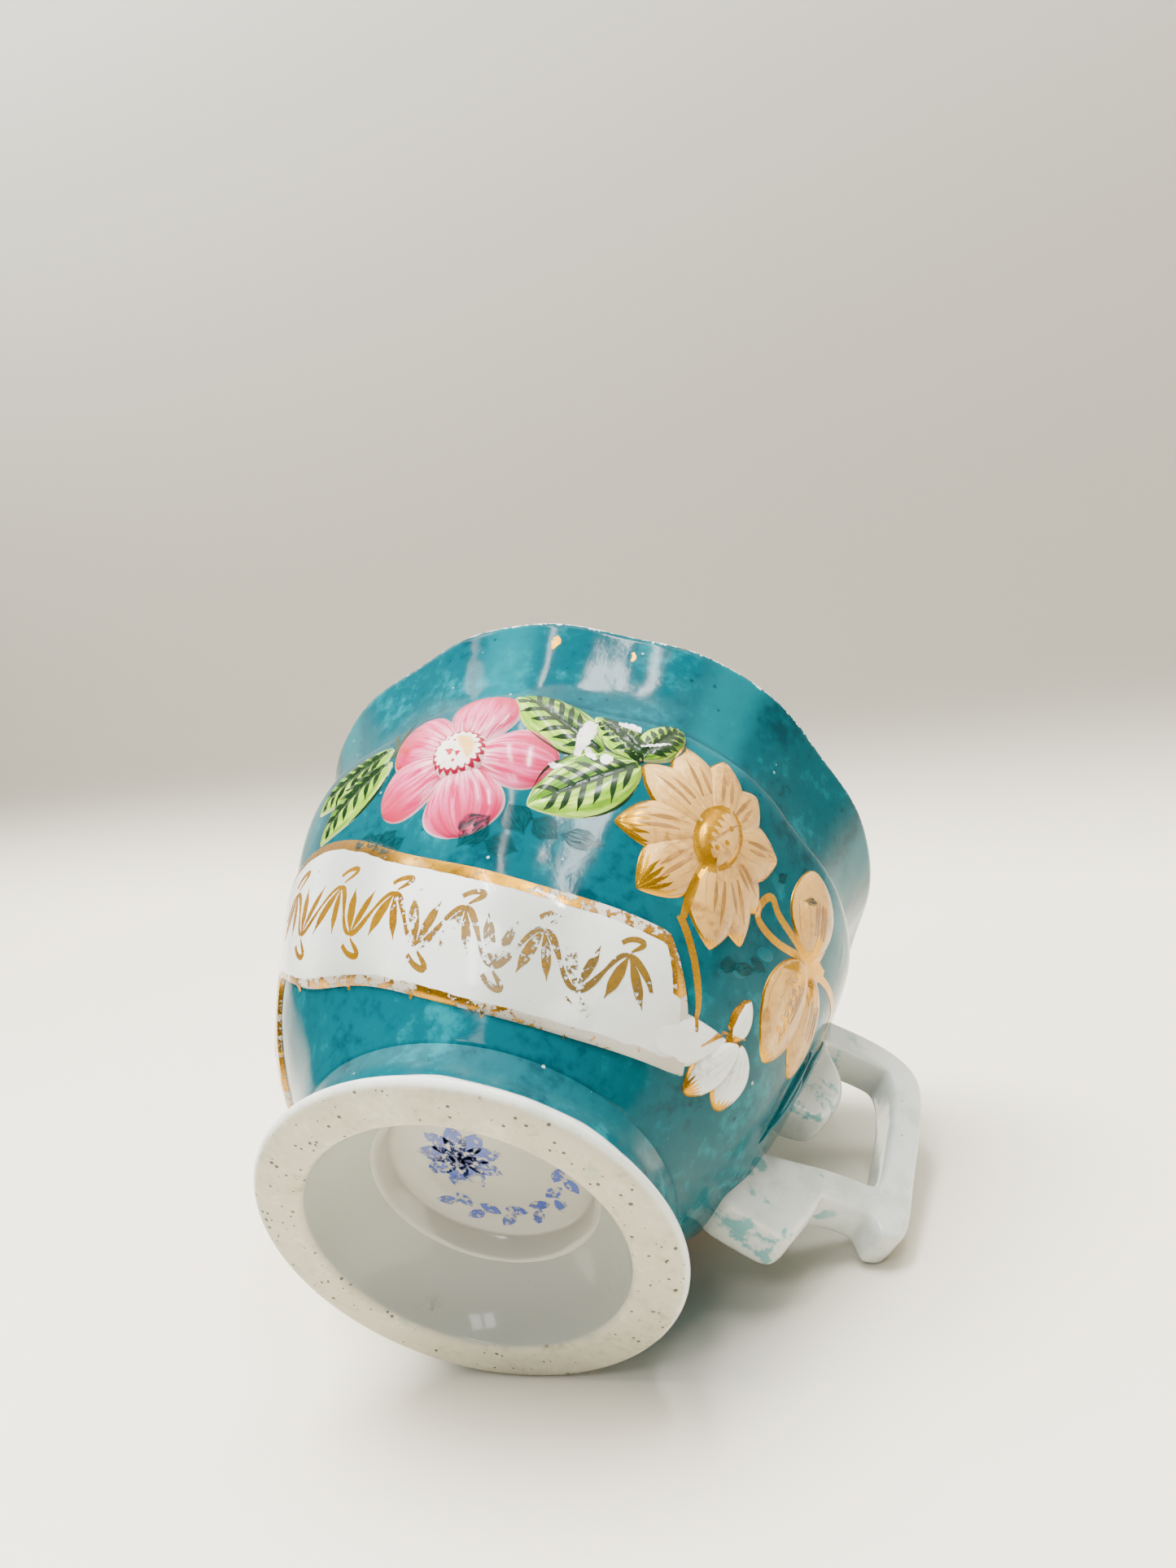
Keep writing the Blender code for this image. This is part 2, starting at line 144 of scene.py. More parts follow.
def wall_point(angle, height, lift=0.0):
    """A point this far off the outside of the wall, and the direction straight out of it."""
    step = 0.2 * MM
    radius = wall_radius(height) + flute(angle, height)
    slope = (wall_radius(height + step) - wall_radius(height - step)) / (2 * step)
    out = Vector((math.cos(angle), math.sin(angle), -slope)).normalized()
    foot_point = Vector((radius * math.cos(angle), radius * math.sin(angle), height))
    return foot_point + out * lift + Vector((AXIS_X, 0.0, 0.0)), out


for share in (0.2, 0.5, 0.75, 1.0):
    print("wall radius mm at share", share, ":", round(wall_radius(share * HEIGHT) / MM, 2))

# %% [markdown]
# ## A small bench for nodes
#
# A glaze is a tree of nodes. Wiring each one by hand hides the recipe, so this bench has one
# short method for each kind of node used here. Each takes numbers, colours or the output of
# another node. The groups after it hold effects that several glazes share, and they give out only
# colours, masks and values: the shader itself stays in each material.

# %% The node bench


def pigment(red, green, blue):
    """A paint colour on the usual 0 to 255 scale, as the linear colour that nodes use."""
    channels = [value / 255 for value in (red, green, blue)]
    linear = [c / 12.92 if c < 0.04 else ((c + 0.055) / 1.055) ** 2.4 for c in channels]
    return (*linear, 1.0)


class Bench:
    def __init__(self, tree):
        self.tree = tree

    def plug(self, socket, value):
        if isinstance(value, bpy.types.NodeSocket):
            self.tree.links.new(value, socket)
        else:
            socket.default_value = value

    def place(self, kind, inputs=(), **settings):
        made = self.tree.nodes.new(kind)
        for key, value in settings.items():
            setattr(made, key, value)
        for key, value in dict(inputs).items():
            self.plug(made.inputs[key], value)
        return made

    def calc(self, operation, first, second=0.0, third=0.0, clamp=False):
        made = self.place("ShaderNodeMath", {0: first, 1: second, 2: third},
                          operation=operation, use_clamp=clamp)
        return made.outputs[0]

    def plus(self, first, second):
        return self.calc("ADD", first, second)

    def minus(self, first, second):
        return self.calc("SUBTRACT", first, second)

    def times(self, first, *others):
        for other in others:
            first = self.calc("MULTIPLY", first, other)
        return first

    def scaled(self, value, factor, base):
        """value x factor + base"""
        return self.calc("MULTIPLY_ADD", value, factor, base)

    def apart(self, first, second):
        return self.calc("ABSOLUTE", self.minus(first, second))

    def band(self, value, low, high):
        """0 up to low, 1 from high on, and a soft step between them. High may be below low."""
        inputs = {0: value, 1: low, 2: high}
        return self.place("ShaderNodeMapRange", inputs, interpolation_type="SMOOTHSTEP").outputs[0]

    def mix(self, factor, first, second):
        inputs = {0: factor, 6: first, 7: second}
        return self.place("ShaderNodeMix", inputs, data_type="RGBA").outputs[2]

    def wash(self, colour, mask, strength, paint):
        """Lays paint over a colour where the mask is, no thicker than this strength."""
        return self.mix(self.times(mask, strength), colour, paint)

    def between(self, factor, first, second):
        inputs = {0: factor, 2: first, 3: second}
        return self.place("ShaderNodeMix", inputs, data_type="FLOAT").outputs[0]

    def noise(self, vector, scale, detail=3.0, roughness=0.5, distortion=0.0):
        inputs = {"Vector": vector, "Scale": scale, "Detail": detail,
                  "Roughness": roughness, "Distortion": distortion}
        return self.place("ShaderNodeTexNoise", inputs).outputs[0]

    def place_of(self):
        return self.place("ShaderNodeTexCoord").outputs["Object"]

    def split(self, vector):
        return self.place("ShaderNodeSeparateXYZ", {0: vector}).outputs

    def joined(self, x, y, z):
        return self.place("ShaderNodeCombineXYZ", {0: x, 1: y, 2: z}).outputs[0]

    def shares(self):
        """How far along and how far across the piece's own UV map."""
        return self.split(self.place("ShaderNodeUVMap", uv_map="paint").outputs[0])

    def kept(self, name):
        return self.place("ShaderNodeAttribute", attribute_name=name).outputs["Fac"]

    def use(self, group, inputs):
        return self.place("ShaderNodeGroup", inputs, node_tree=group).outputs

    def dots(self, vector, scale, size):
        """Kiln specks. Like the next two, it places one of the groups that are made below."""
        return self.use(specks, {"Vector": vector, "Scale": scale, "Size": size})["Mask"]

    def gold(self, vector, scale, wear):
        """Worn gilding: its mask, colour and roughness."""
        return self.use(gilding, {"Vector": vector, "Scale": scale, "Wear": wear})

    def sponge(self, vector, scale, middle, deep, pale, strength):
        """A clouded colour and its height."""
        inputs = {"Vector": vector, "Scale": scale, "Middle": middle,
                  "Deep": deep, "Pale": pale, "Strength": strength}
        made = self.use(mottle, inputs)
        return made["Color"], made["Height"]

    def drawn(self, x, y, z, scale, *rest):
        """Noise pulled along the piece's UV map, as by the hairs of a brush."""
        along, across, _ = self.shares()
        pulled = self.joined(self.times(along, x), self.times(across, y), z)
        return self.noise(pulled, scale, *rest)


def new_group(name, inputs, outputs):
    group = bpy.data.node_groups.new(name, "ShaderNodeTree")
    for label, kind, value in inputs:
        socket = group.interface.new_socket(label, in_out="INPUT", socket_type="NodeSocket" + kind)
        if value is not None:
            socket.default_value = value
    for label, kind in outputs:
        group.interface.new_socket(label, in_out="OUTPUT", socket_type="NodeSocket" + kind)
    bench = Bench(group)
    source = bench.place("NodeGroupInput").outputs
    return group, bench, source, bench.place("NodeGroupOutput").inputs


def glaze(name, roughness, coat=0.0, specular=0.5):
    """A new material with its shader, and the bench to paint it on."""
    material = bpy.data.materials.new(name)
    material.use_nodes = True
    shader = material.node_tree.nodes["Principled BSDF"]
    shader.inputs["Roughness"].default_value = roughness
    shader.inputs["Coat Weight"].default_value = coat
    shader.inputs["Coat Roughness"].default_value = 0.06
    shader.inputs["Specular IOR Level"].default_value = specular
    return material, Bench(material.node_tree), shader.inputs


def relief(bench, shader, height, depth, strength=1.0):
    """Feeds a height in shares of this depth to the shader as a bump."""
    inputs = {"Height": height, "Distance": depth, "Strength": strength}
    bench.plug(shader["Normal"], bench.place("ShaderNodeBump", inputs).outputs[0])


print("bench ready")

# %% [markdown]
# ## Shared effects
#
# Kiln specks are tiny dots that burn through the glaze. Mottling is the cloudy look of a colour
# that was dabbed on with a sponge. Worn gilding is gold leaf that has rubbed away in crumbs, and
# leaves a brown stain where it is thin. Each is a node group with its own named inputs, so the
# pieces can share it and still have their own strength.

# %% Node groups shared by the glazes
specks, bench, given, result = new_group(
    "kiln_specks",
    (("Vector", "Vector", None), ("Scale", "Float", 300.0), ("Size", "Float", 0.2)),
    (("Mask", "Float"),),
)
cells = bench.place("ShaderNodeTexVoronoi", {"Vector": given["Vector"], "Scale": given["Scale"]})
chance = bench.split(cells.outputs["Color"])[0]
reach = bench.times(bench.calc("POWER", chance, 6.0), given["Size"])
ragged = bench.noise(given["Vector"], 4000.0, 1.0)
reach = bench.times(reach, bench.plus(ragged, 0.5))
bench.plug(result["Mask"], bench.calc("LESS_THAN", cells.outputs["Distance"], reach))

mottle, bench, given, result = new_group(
    "sponged_colour",
    (
        ("Vector", "Vector", None),
        ("Scale", "Float", 120.0),
        ("Middle", "Color", (0.5, 0.5, 0.5, 1)),
        ("Deep", "Color", (0.2, 0.2, 0.2, 1)),
        ("Pale", "Color", (0.8, 0.8, 0.8, 1)),
        ("Strength", "Float", 1.0),
    ),
    (("Color", "Color"), ("Height", "Float")),
)
broad = bench.noise(given["Vector"], given["Scale"], 3.0, 0.6, 0.4)
finer = bench.noise(given["Vector"], bench.times(given["Scale"], 7.0), 4.0, 0.65)
clouds = bench.plus(bench.times(broad, 0.6), bench.times(finer, 0.4))
down = bench.times(bench.band(clouds, 0.50, 0.34), given["Strength"])
up = bench.times(bench.band(clouds, 0.52, 0.68), given["Strength"])
colour = bench.mix(up, bench.mix(down, given["Middle"], given["Deep"]), given["Pale"])
bench.plug(result["Color"], colour)
bench.plug(result["Height"], clouds)

gilding, bench, given, result = new_group(
    "worn_gilding",
    (
        ("Vector", "Vector", None),
        ("Scale", "Float", 900.0),
        ("Wear", "Float", 0.3),
    ),
    (("Mask", "Float"), ("Color", "Color"), ("Roughness", "Float")),
)
crumbs = bench.noise(given["Vector"], given["Scale"], 5.0, 0.7)
patches = bench.noise(given["Vector"], bench.times(given["Scale"], 0.22), 2.0)
hold = bench.plus(bench.times(crumbs, 0.6), bench.times(patches, 0.4))
edge = bench.scaled(given["Wear"], 0.42, 0.27)
bench.plug(result["Mask"], bench.band(hold, edge, bench.plus(edge, 0.035)))
thin = bench.band(hold, bench.plus(edge, 0.10), bench.plus(edge, 0.02))
tones = bench.mix(patches, pigment(168, 106, 0), pigment(216, 162, 6))
bench.plug(result["Color"], bench.mix(bench.times(thin, 0.5), tones, pigment(120, 74, 20)))
bench.plug(result["Roughness"], bench.between(crumbs, 0.14, 0.38))
print("groups:", [group.name for group in bpy.data.node_groups])

# %% [markdown]
# ## Turquoise glaze
#
# The ground colour was sponged on over white porcelain. It is cloudy. High on the bowl it is paler
# over the crests of the flutes, where the glaze runs thin and where a painted sheen stands in for
# the light on the flutes. It is darker in the groove at the shoulder, where glaze pools and a
# painted shade stands in for the shadow there. It is worn through to white along the lip. The
# flutes are found again from the angle round the axis, so the colour follows the shape.

# %% The turquoise glaze
TEAL = pigment(0, 76, 86)
TEAL_DEEP = pigment(0, 44, 54)
TEAL_PALE = pigment(2, 118, 128)
PORCELAIN = pigment(226, 228, 222)
GROOVE = 0.789 * HEIGHT


def round_axis(bench):
    """The height of a place, its distance from the axis of the bowl, and its angle round it."""
    x, y, height = bench.split(bench.place_of())
    x = bench.minus(x, AXIS_X)
    distance = bench.calc("SQRT", bench.scaled(x, x, bench.times(y, y)))
    return height, distance, bench.calc("ARCTAN2", y, x)


def off_dip(bench, angle):
    """1 in the dip between two flutes and -1 on the crest of one."""
    return bench.calc("COSINE", bench.times(bench.minus(angle, LOBE_DIP_ANGLE), LOBES))


def turquoise(bench):
    """The colour of the ground glaze, and its height for a faint bump."""
    vector = bench.place_of()
    height, _, angle = round_axis(bench)
    colour, clouds = bench.sponge(vector, 75.0, TEAL, TEAL_DEEP, TEAL_PALE, 0.75)
    # Paler over the flute crests high on the bowl: thin glaze there, and a painted sheen that
    # stands in for light on the flutes.
    crest = bench.band(off_dip(bench, angle), -0.55, -1.0)
    high_up = bench.band(height, 0.3 * HEIGHT, 0.8 * HEIGHT)
    colour = bench.wash(colour, bench.times(crest, high_up), 0.45, TEAL_PALE)
    # Darker in the shoulder groove: pooled glaze, and a painted shade for the shadow in the groove.
    groove = bench.apart(height, GROOVE)
    colour = bench.wash(colour, bench.band(groove, 1.6 * MM, 0.2 * MM), 0.6, TEAL_DEEP)
    dots = bench.dots(vector, 520.0, 0.20)
    colour = bench.wash(colour, dots, 0.7, pigment(0, 44, 54))
    pinholes = bench.dots(vector, 410.0, 0.12)
    return bench.wash(colour, pinholes, 0.6, pigment(190, 214, 210)), clouds


teal_glaze, bench, shader = glaze("turquoise_glaze", 0.10, coat=0.0, specular=0.12)
vector = bench.place_of()
height = round_axis(bench)[0]
colour, clouds = turquoise(bench)
nibble = bench.noise(vector, 900.0, 4.0, 0.7)
line = bench.scaled(bench.minus(nibble, 0.5), 2.6 * MM, HEIGHT - 1.15 * MM)
worn = bench.band(bench.minus(height, line), 0.0, 0.10 * MM)
colour = bench.mix(worn, colour, PORCELAIN)
lip = bench.band(height, HEIGHT - 1.5 * MM, HEIGHT - 0.8 * MM)
gold = bench.gold(vector, 520.0, 0.78)
gilt = bench.times(gold["Mask"], lip)
bench.plug(shader["Base Color"], bench.mix(gilt, colour, gold["Color"]))
bench.plug(shader["Metallic"], bench.times(gilt, 0.9))
ripple = bench.noise(vector, 62.0, 2.0)
relief(bench, shader, bench.scaled(ripple, 12.0, clouds), 0.05 * MM, 0.8)
bench.plug(shader["Roughness"], bench.between(clouds, 0.05, 0.13))
print("made", teal_glaze.name)

# %% [markdown]
# ## White glaze and bare clay
#
# The handle, ribbon, inside and foot are clear glaze over white porcelain: slightly green and
# grey, never pure white, with a few specks and a faint unevenness that softens reflections. The
# ring that the mug stands on was wiped bare before firing. It is cream, dull and dirty, with
# black grains from the shelf of the kiln. The green stain on the handle pads is where the
# turquoise was brushed past its edge.

# %% White glaze and bare clay
COOL_WHITE = pigment(222, 226, 220)
SHADY_WHITE = pigment(196, 203, 194)
WARM_WHITE = pigment(234, 233, 224)


def white_clay(bench, strength=0.8):
    vector = bench.place_of()
    colour, clouds = bench.sponge(vector, 45.0, COOL_WHITE, SHADY_WHITE, WARM_WHITE, strength)
    dots = bench.dots(vector, 420.0, 0.14)
    return bench.wash(colour, dots, 0.55, pigment(96, 88, 74)), clouds


white_glaze, bench, shader = glaze("white_glaze", 0.12, coat=0.3)
colour, clouds = white_clay(bench)
height, distance, _ = round_axis(bench)
# Painted shade: the white disc in the recess under the bowl is greyed, as shade falls there.
under = bench.times(bench.band(distance, 20 * MM, 16 * MM), bench.band(height, 16 * MM, 15 * MM))
colour = bench.wash(colour, under, 0.8, pigment(162, 159, 144))
bench.plug(shader["Base Color"], colour)
bench.plug(shader["Roughness"], bench.between(clouds, 0.09, 0.20))
ripple = bench.noise(bench.place_of(), 110.0, 2.0)
relief(bench, shader, bench.scaled(ripple, 6.0, clouds), 0.05 * MM, 0.6)

handle_glaze, bench, shader = glaze("handle_glaze", 0.14, coat=0.3)
vector = bench.place_of()
distance = round_axis(bench)[1]
colour, clouds = white_clay(bench, 1.0)
colour = bench.mix(0.2, colour, pigment(176, 184, 174))
near_wall = bench.band(distance, BELLY_RADIUS + 9 * MM, BELLY_RADIUS + 1 * MM)
dabs = bench.noise(vector, 190.0, 4.0, 0.6)
stain = bench.times(bench.band(dabs, 0.56, 0.64), near_wall)
colour = bench.wash(colour, stain, 0.8, pigment(70, 160, 164))
seam = bench.band(bench.calc("ABSOLUTE", bench.split(vector)[1]), 0.25 * MM, 0.0)
colour = bench.wash(colour, seam, 0.12, SHADY_WHITE)
bench.plug(shader["Base Color"], colour)
bench.plug(shader["Roughness"], bench.between(clouds, 0.10, 0.22))
ripple = bench.noise(vector, 160.0, 2.0)
relief(bench, shader, bench.scaled(ripple, 6.0, clouds), 0.07 * MM, 0.8)

CLAY = pigment(194, 190, 167)
CLAY_DEEP = pigment(160, 155, 130)
CLAY_PALE = pigment(216, 213, 194)
TEAL_STARTS = 3.1 * MM
foot_glaze, bench, shader = glaze("foot_glaze_and_clay", 0.14, coat=0.2, specular=0.12)
vector = bench.place_of()
height, distance, _ = round_axis(bench)
white_colour, clouds = white_clay(bench)
flat = bench.times(bench.band(height, 0.75 * MM, 0.25 * MM),
                  bench.band(distance, 0.70 * FOOT_RADIUS, 0.77 * FOOT_RADIUS))
clay, _ = bench.sponge(vector, 110.0, CLAY, CLAY_DEEP, CLAY_PALE, 0.8)
grit = bench.dots(vector, 1250.0, 0.42)
clay = bench.wash(clay, grit, 0.85, pigment(48, 44, 38))
moss = bench.band(bench.noise(vector, 160.0, 3.0), 0.60, 0.70)
clay = bench.wash(clay, moss, 0.35, pigment(150, 172, 158))
# The hollow inside the foot. Its white glaze is greyed there as a painted shade, and grey smudges
# lie low down in it.
inside = bench.band(distance, 0.80 * FOOT_RADIUS, 0.76 * FOOT_RADIUS)
smudge = bench.band(bench.noise(vector, 130.0, 5.0, 0.75), 0.635, 0.70)
low_down = bench.band(height, 6.0 * MM, 1.0 * MM)
smudge = bench.times(smudge, inside, bench.times(low_down, 0.55))
# Painted shade in the hollow of the foot.
white_colour = bench.wash(white_colour, inside, 0.85, pigment(158, 160, 150))
white_colour = bench.mix(smudge, white_colour, pigment(104, 106, 106))
teal_colour, _ = turquoise(bench)
wander = bench.scaled(bench.noise(vector, 120.0, 2.0), 1.6 * MM, TEAL_STARTS - 0.8 * MM)
outside = bench.band(distance, 0.80 * FOOT_RADIUS, 0.84 * FOOT_RADIUS)
above = bench.band(bench.minus(height, wander), 0.0, 0.5 * MM)
under_teal = bench.times(above, outside)
body = bench.mix(under_teal, white_colour, teal_colour)
bench.plug(shader["Base Color"], bench.mix(flat, body, clay))
bench.plug(shader["Roughness"], bench.between(flat, bench.between(clouds, 0.10, 0.2), 0.62))
uncoated = bench.calc("MAXIMUM", flat, under_teal)
bench.plug(shader["Coat Weight"], bench.times(bench.minus(1.0, uncoated), 0.25))
grainy = bench.noise(vector, 2200.0, 3.0, 0.7)
relief(bench, shader, bench.between(flat, clouds, bench.times(grainy, 2.0)), 0.05 * MM, 0.8)
print("made", white_glaze.name, handle_glaze.name, foot_glaze.name)

# %% [markdown]
# ## Turned shapes
#
# The bowl and the foot were thrown on a wheel and cast in a mould, so half a section spun round
# the axis makes them. A full spin merges its last ring with its first. Then the flutes push the
# rings in and out, faces are turned outwards, and smooth shading hides the steps.

# %% Helpers for turned pieces
made_pieces = []


def finish_piece(name, bm, materials, nodes=(), sharp=None):
    """Turns a bmesh into a smooth piece that rides on the mug and stands for CAD nodes."""
    bmesh.ops.remove_doubles(bm, verts=bm.verts, dist=0.004 * MM)
    bmesh.ops.dissolve_degenerate(bm, dist=0.001 * MM, edges=bm.edges)
    bmesh.ops.recalc_face_normals(bm, faces=bm.faces)
    mesh = bpy.data.meshes.new(name)
    bm.to_mesh(mesh)
    bm.free()
    mesh.polygons.foreach_set("use_smooth", [True] * len(mesh.polygons))
    if sharp:
        mesh.set_sharp_from_angle(angle=math.radians(sharp))
    for material in materials:
        mesh.materials.append(material)
    piece = stand(name, mesh)
    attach(piece, "root")
    if nodes:
        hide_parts(*nodes)
    made_pieces.append(piece)
    print(name, "faces:", len(mesh.polygons))
    return piece


def turned(profile, steps):
    """Spins (radius, height) points once round the axis. Ends on the axis become poles."""
    bm = bmesh.new()
    verts = [bm.verts.new((radius, 0.0, height)) for radius, height in profile]
    edges = [bm.edges.new(pair) for pair in zip(verts, verts[1:])]
    if profile[0][0] > 0.0:
        edges.append(bm.edges.new((verts[-1], verts[0])))
    bmesh.ops.spin(bm, geom=verts + edges, cent=(0, 0, 0), axis=(0, 0, 1),
                   angle=math.tau, steps=steps, use_merge=True)
    bmesh.ops.remove_doubles(bm, verts=bm.verts, dist=0.004 * MM)
    return bm


def new_corners(made):
    """The corners that an operator has just made."""
    return [item for item in made["geom"] if isinstance(item, bmesh.types.BMVert)]


def stand(name, data):
    """Puts an object with this mesh, light or lens into the scene."""
    made = bpy.data.objects.new(name, data)
    bpy.context.scene.collection.objects.link(made)
    return made


def steps_between(low, high, count):
    return [low + (high - low) * i / count for i in range(count)]


# %% The bowl
RECESS_RADIUS = 0.505 * FOOT_RADIUS
RECESS_CEILING = SEAT_HEIGHT + 3.3 * MM
FLOOR_HEIGHT = RECESS_CEILING + 4.2 * MM
AROUND = 288
# The shoulder turns tightly, so it gets more rings between these heights.
SHOULDER_FROM = 0.66 * HEIGHT
SHOULDER_TO = 0.84 * HEIGHT


def bowl_profile():
    start = SEAT_HEIGHT - 0.5 * MM
    points = [
        (0.0, RECESS_CEILING),
        (0.6 * RECESS_RADIUS, RECESS_CEILING),
        (RECESS_RADIUS - 0.6 * MM, RECESS_CEILING),
        (RECESS_RADIUS, RECESS_CEILING - 0.5 * MM),
        (RECESS_RADIUS + 0.5 * MM, SEAT_HEIGHT - 0.1 * MM),
        (RECESS_RADIUS + 2.0 * MM, start),
        (wall_radius(start) - 0.25 * MM, start),
    ]
    top = HEIGHT - RIM_WALL / 2
    heights = steps_between(start, SHOULDER_FROM, 46)[1:]
    heights += steps_between(SHOULDER_FROM, SHOULDER_TO, 44)
    heights += steps_between(SHOULDER_TO, top, 16) + [top]
    points += [(wall_radius(z), z) for z in heights]
    lip = wall_radius(top) - RIM_WALL / 2
    for turn in range(15, 180, 15):
        reach = RIM_WALL / 2
        side = lip + reach * math.cos(math.radians(turn))
        points.append((side, top + reach * math.sin(math.radians(turn))))
    knee = 0.40 * HEIGHT
    for height in [top - (top - knee) * i / 40 for i in range(40)]:
        thick = RIM_WALL + (WALL - RIM_WALL) * smooth((HEIGHT - height) / (0.2 * HEIGHT))
        points.append((wall_radius(height) - thick, height))
    side = wall_radius(knee) - WALL
    for i in range(24):
        turn = math.radians(90.0 * i / 24)
        share = math.cos(turn) ** 0.8
        points.append((side * share, knee - (knee - FLOOR_HEIGHT) * math.sin(turn) ** 0.8))
    points.append((0.0, FLOOR_HEIGHT))
    return points


bowl_shape = turned(bowl_profile(), AROUND)
for vert in bowl_shape.verts:
    radius = math.hypot(vert.co.x, vert.co.y)
    if radius > MM:
        angle = math.atan2(vert.co.y, vert.co.x)
        vert.co.xy *= 1.0 + flute(angle, vert.co.z) / radius
for face in bowl_shape.faces:
    centre = face.calc_center_median()
    outer = wall_radius(centre.z) + flute(math.atan2(centre.y, centre.x), centre.z)
    outside = math.hypot(centre.x, centre.y) > outer - 1.15 * MM
    face.material_index = 0 if outside and centre.z > SEAT_HEIGHT - 0.45 * MM else 1
bmesh.ops.translate(bowl_shape, verts=bowl_shape.verts, vec=(AXIS_X, 0.0, 0.0))
finish_piece("glazed_bowl", bowl_shape, (teal_glaze, white_glaze), ("bowl",))

# %% The foot
HOLLOW_RADIUS = 0.76 * FOOT_RADIUS
FLAT_RADIUS = 0.925 * FOOT_RADIUS
FOOT_EDGE = 2.6 * MM
SEAT_INNER_RADIUS = 0.535 * FOOT_RADIUS


def foot_profile():
    """The flat ring, the rounded edge, the stem up to the bowl, and the hollow inside."""
    points = [(HOLLOW_RADIUS + 0.5 * MM, 0.0)]
    points += [(r, 0.0) for r in steps_between(HOLLOW_RADIUS + 1.0 * MM, FLAT_RADIUS, 5)]
    reach = FOOT_RADIUS - FLAT_RADIUS
    for turn in range(-90, 70, 12):
        side = FLAT_RADIUS + reach * math.cos(math.radians(turn))
        points.append((side, FOOT_EDGE / 2 + FOOT_EDGE / 2 * math.sin(math.radians(turn))))
    start = FLAT_RADIUS + 0.4 * reach
    for i in range(1, 19):
        share = i / 18
        cove = (1.0 - share) ** 2.4
        radius = WAIST_RADIUS - 0.05 * MM + (start - WAIST_RADIUS) * cove
        points.append((radius, FOOT_EDGE + (SEAT_HEIGHT + 0.2 * MM - FOOT_EDGE) * share))
    points.append((SEAT_INNER_RADIUS, SEAT_HEIGHT + 0.2 * MM))
    for i in range(1, 24):
        share = i / 24
        bulge = math.sin(math.pi * share) * 1.1 * MM
        radius = SEAT_INNER_RADIUS + (HOLLOW_RADIUS - SEAT_INNER_RADIUS) * share
        points.append((radius + bulge, (SEAT_HEIGHT + 0.2 * MM) * (1.0 - share)))
    return points


foot_shape = turned(foot_profile(), AROUND)
bmesh.ops.translate(foot_shape, verts=foot_shape.verts, vec=(AXIS_X, 0.0, 0.0))
finish_piece("turned_foot", foot_shape, (foot_glaze,), ("foot",))

# %% [markdown]
# ## The twig handle
#
# A potter pressed this handle in a two-part mould, so it is one flat bent strip of even width
# with soft edges. It starts here as a strip of faces drawn by extruding one edge again and
# again, gets its width from one more extrusion, and a Subdivision Surface rounds it. Creases keep
# the long edges from melting away. Its pads run into the wall, as wet clay does.

# %% The handle
HANDLE_REACH = 18.5 * MM
HANDLE_THICK = 5.6 * MM
HANDLE_WIDE = 8.0 * MM
PAD_WIDE = 10.0 * MM


def handle_point(out, up):
    """A point of the handle: share of the reach past the belly, share of the height."""
    return Vector((AXIS_X + BELLY_RADIUS + out * HANDLE_REACH, 0.0, up * HEIGHT))


def strip(bm, pairs, start=None):
    """Draws a strip of faces through pairs of points by extruding one edge again and again."""
    edge = start
    if edge is None:
        edge = bm.edges.new([bm.verts.new(point) for point in pairs[0]])
        pairs = pairs[1:]
    for first, second in pairs:
        ends = list(edge.verts)
        made = bmesh.ops.extrude_edge_only(bm, edges=[edge])
        new = new_corners(made)
        straight = (first - ends[0].co).length + (second - ends[1].co).length
        if straight > (first - ends[1].co).length + (second - ends[0].co).length:
            ends.reverse()
        if (new[0].co - ends[0].co).length > (new[0].co - ends[1].co).length:
            new.reverse()
        new[0].co = first
        new[1].co = second
        edge = next(item for item in made["geom"] if isinstance(item, bmesh.types.BMEdge)
                    and set(item.verts) == set(new))
    return edge


def edge_between(bm, first, second):
    pair = {min(bm.verts, key=lambda vert: (vert.co - point).length) for point in (first, second)}
    return next(edge for edge in bm.edges if set(edge.verts) == pair)


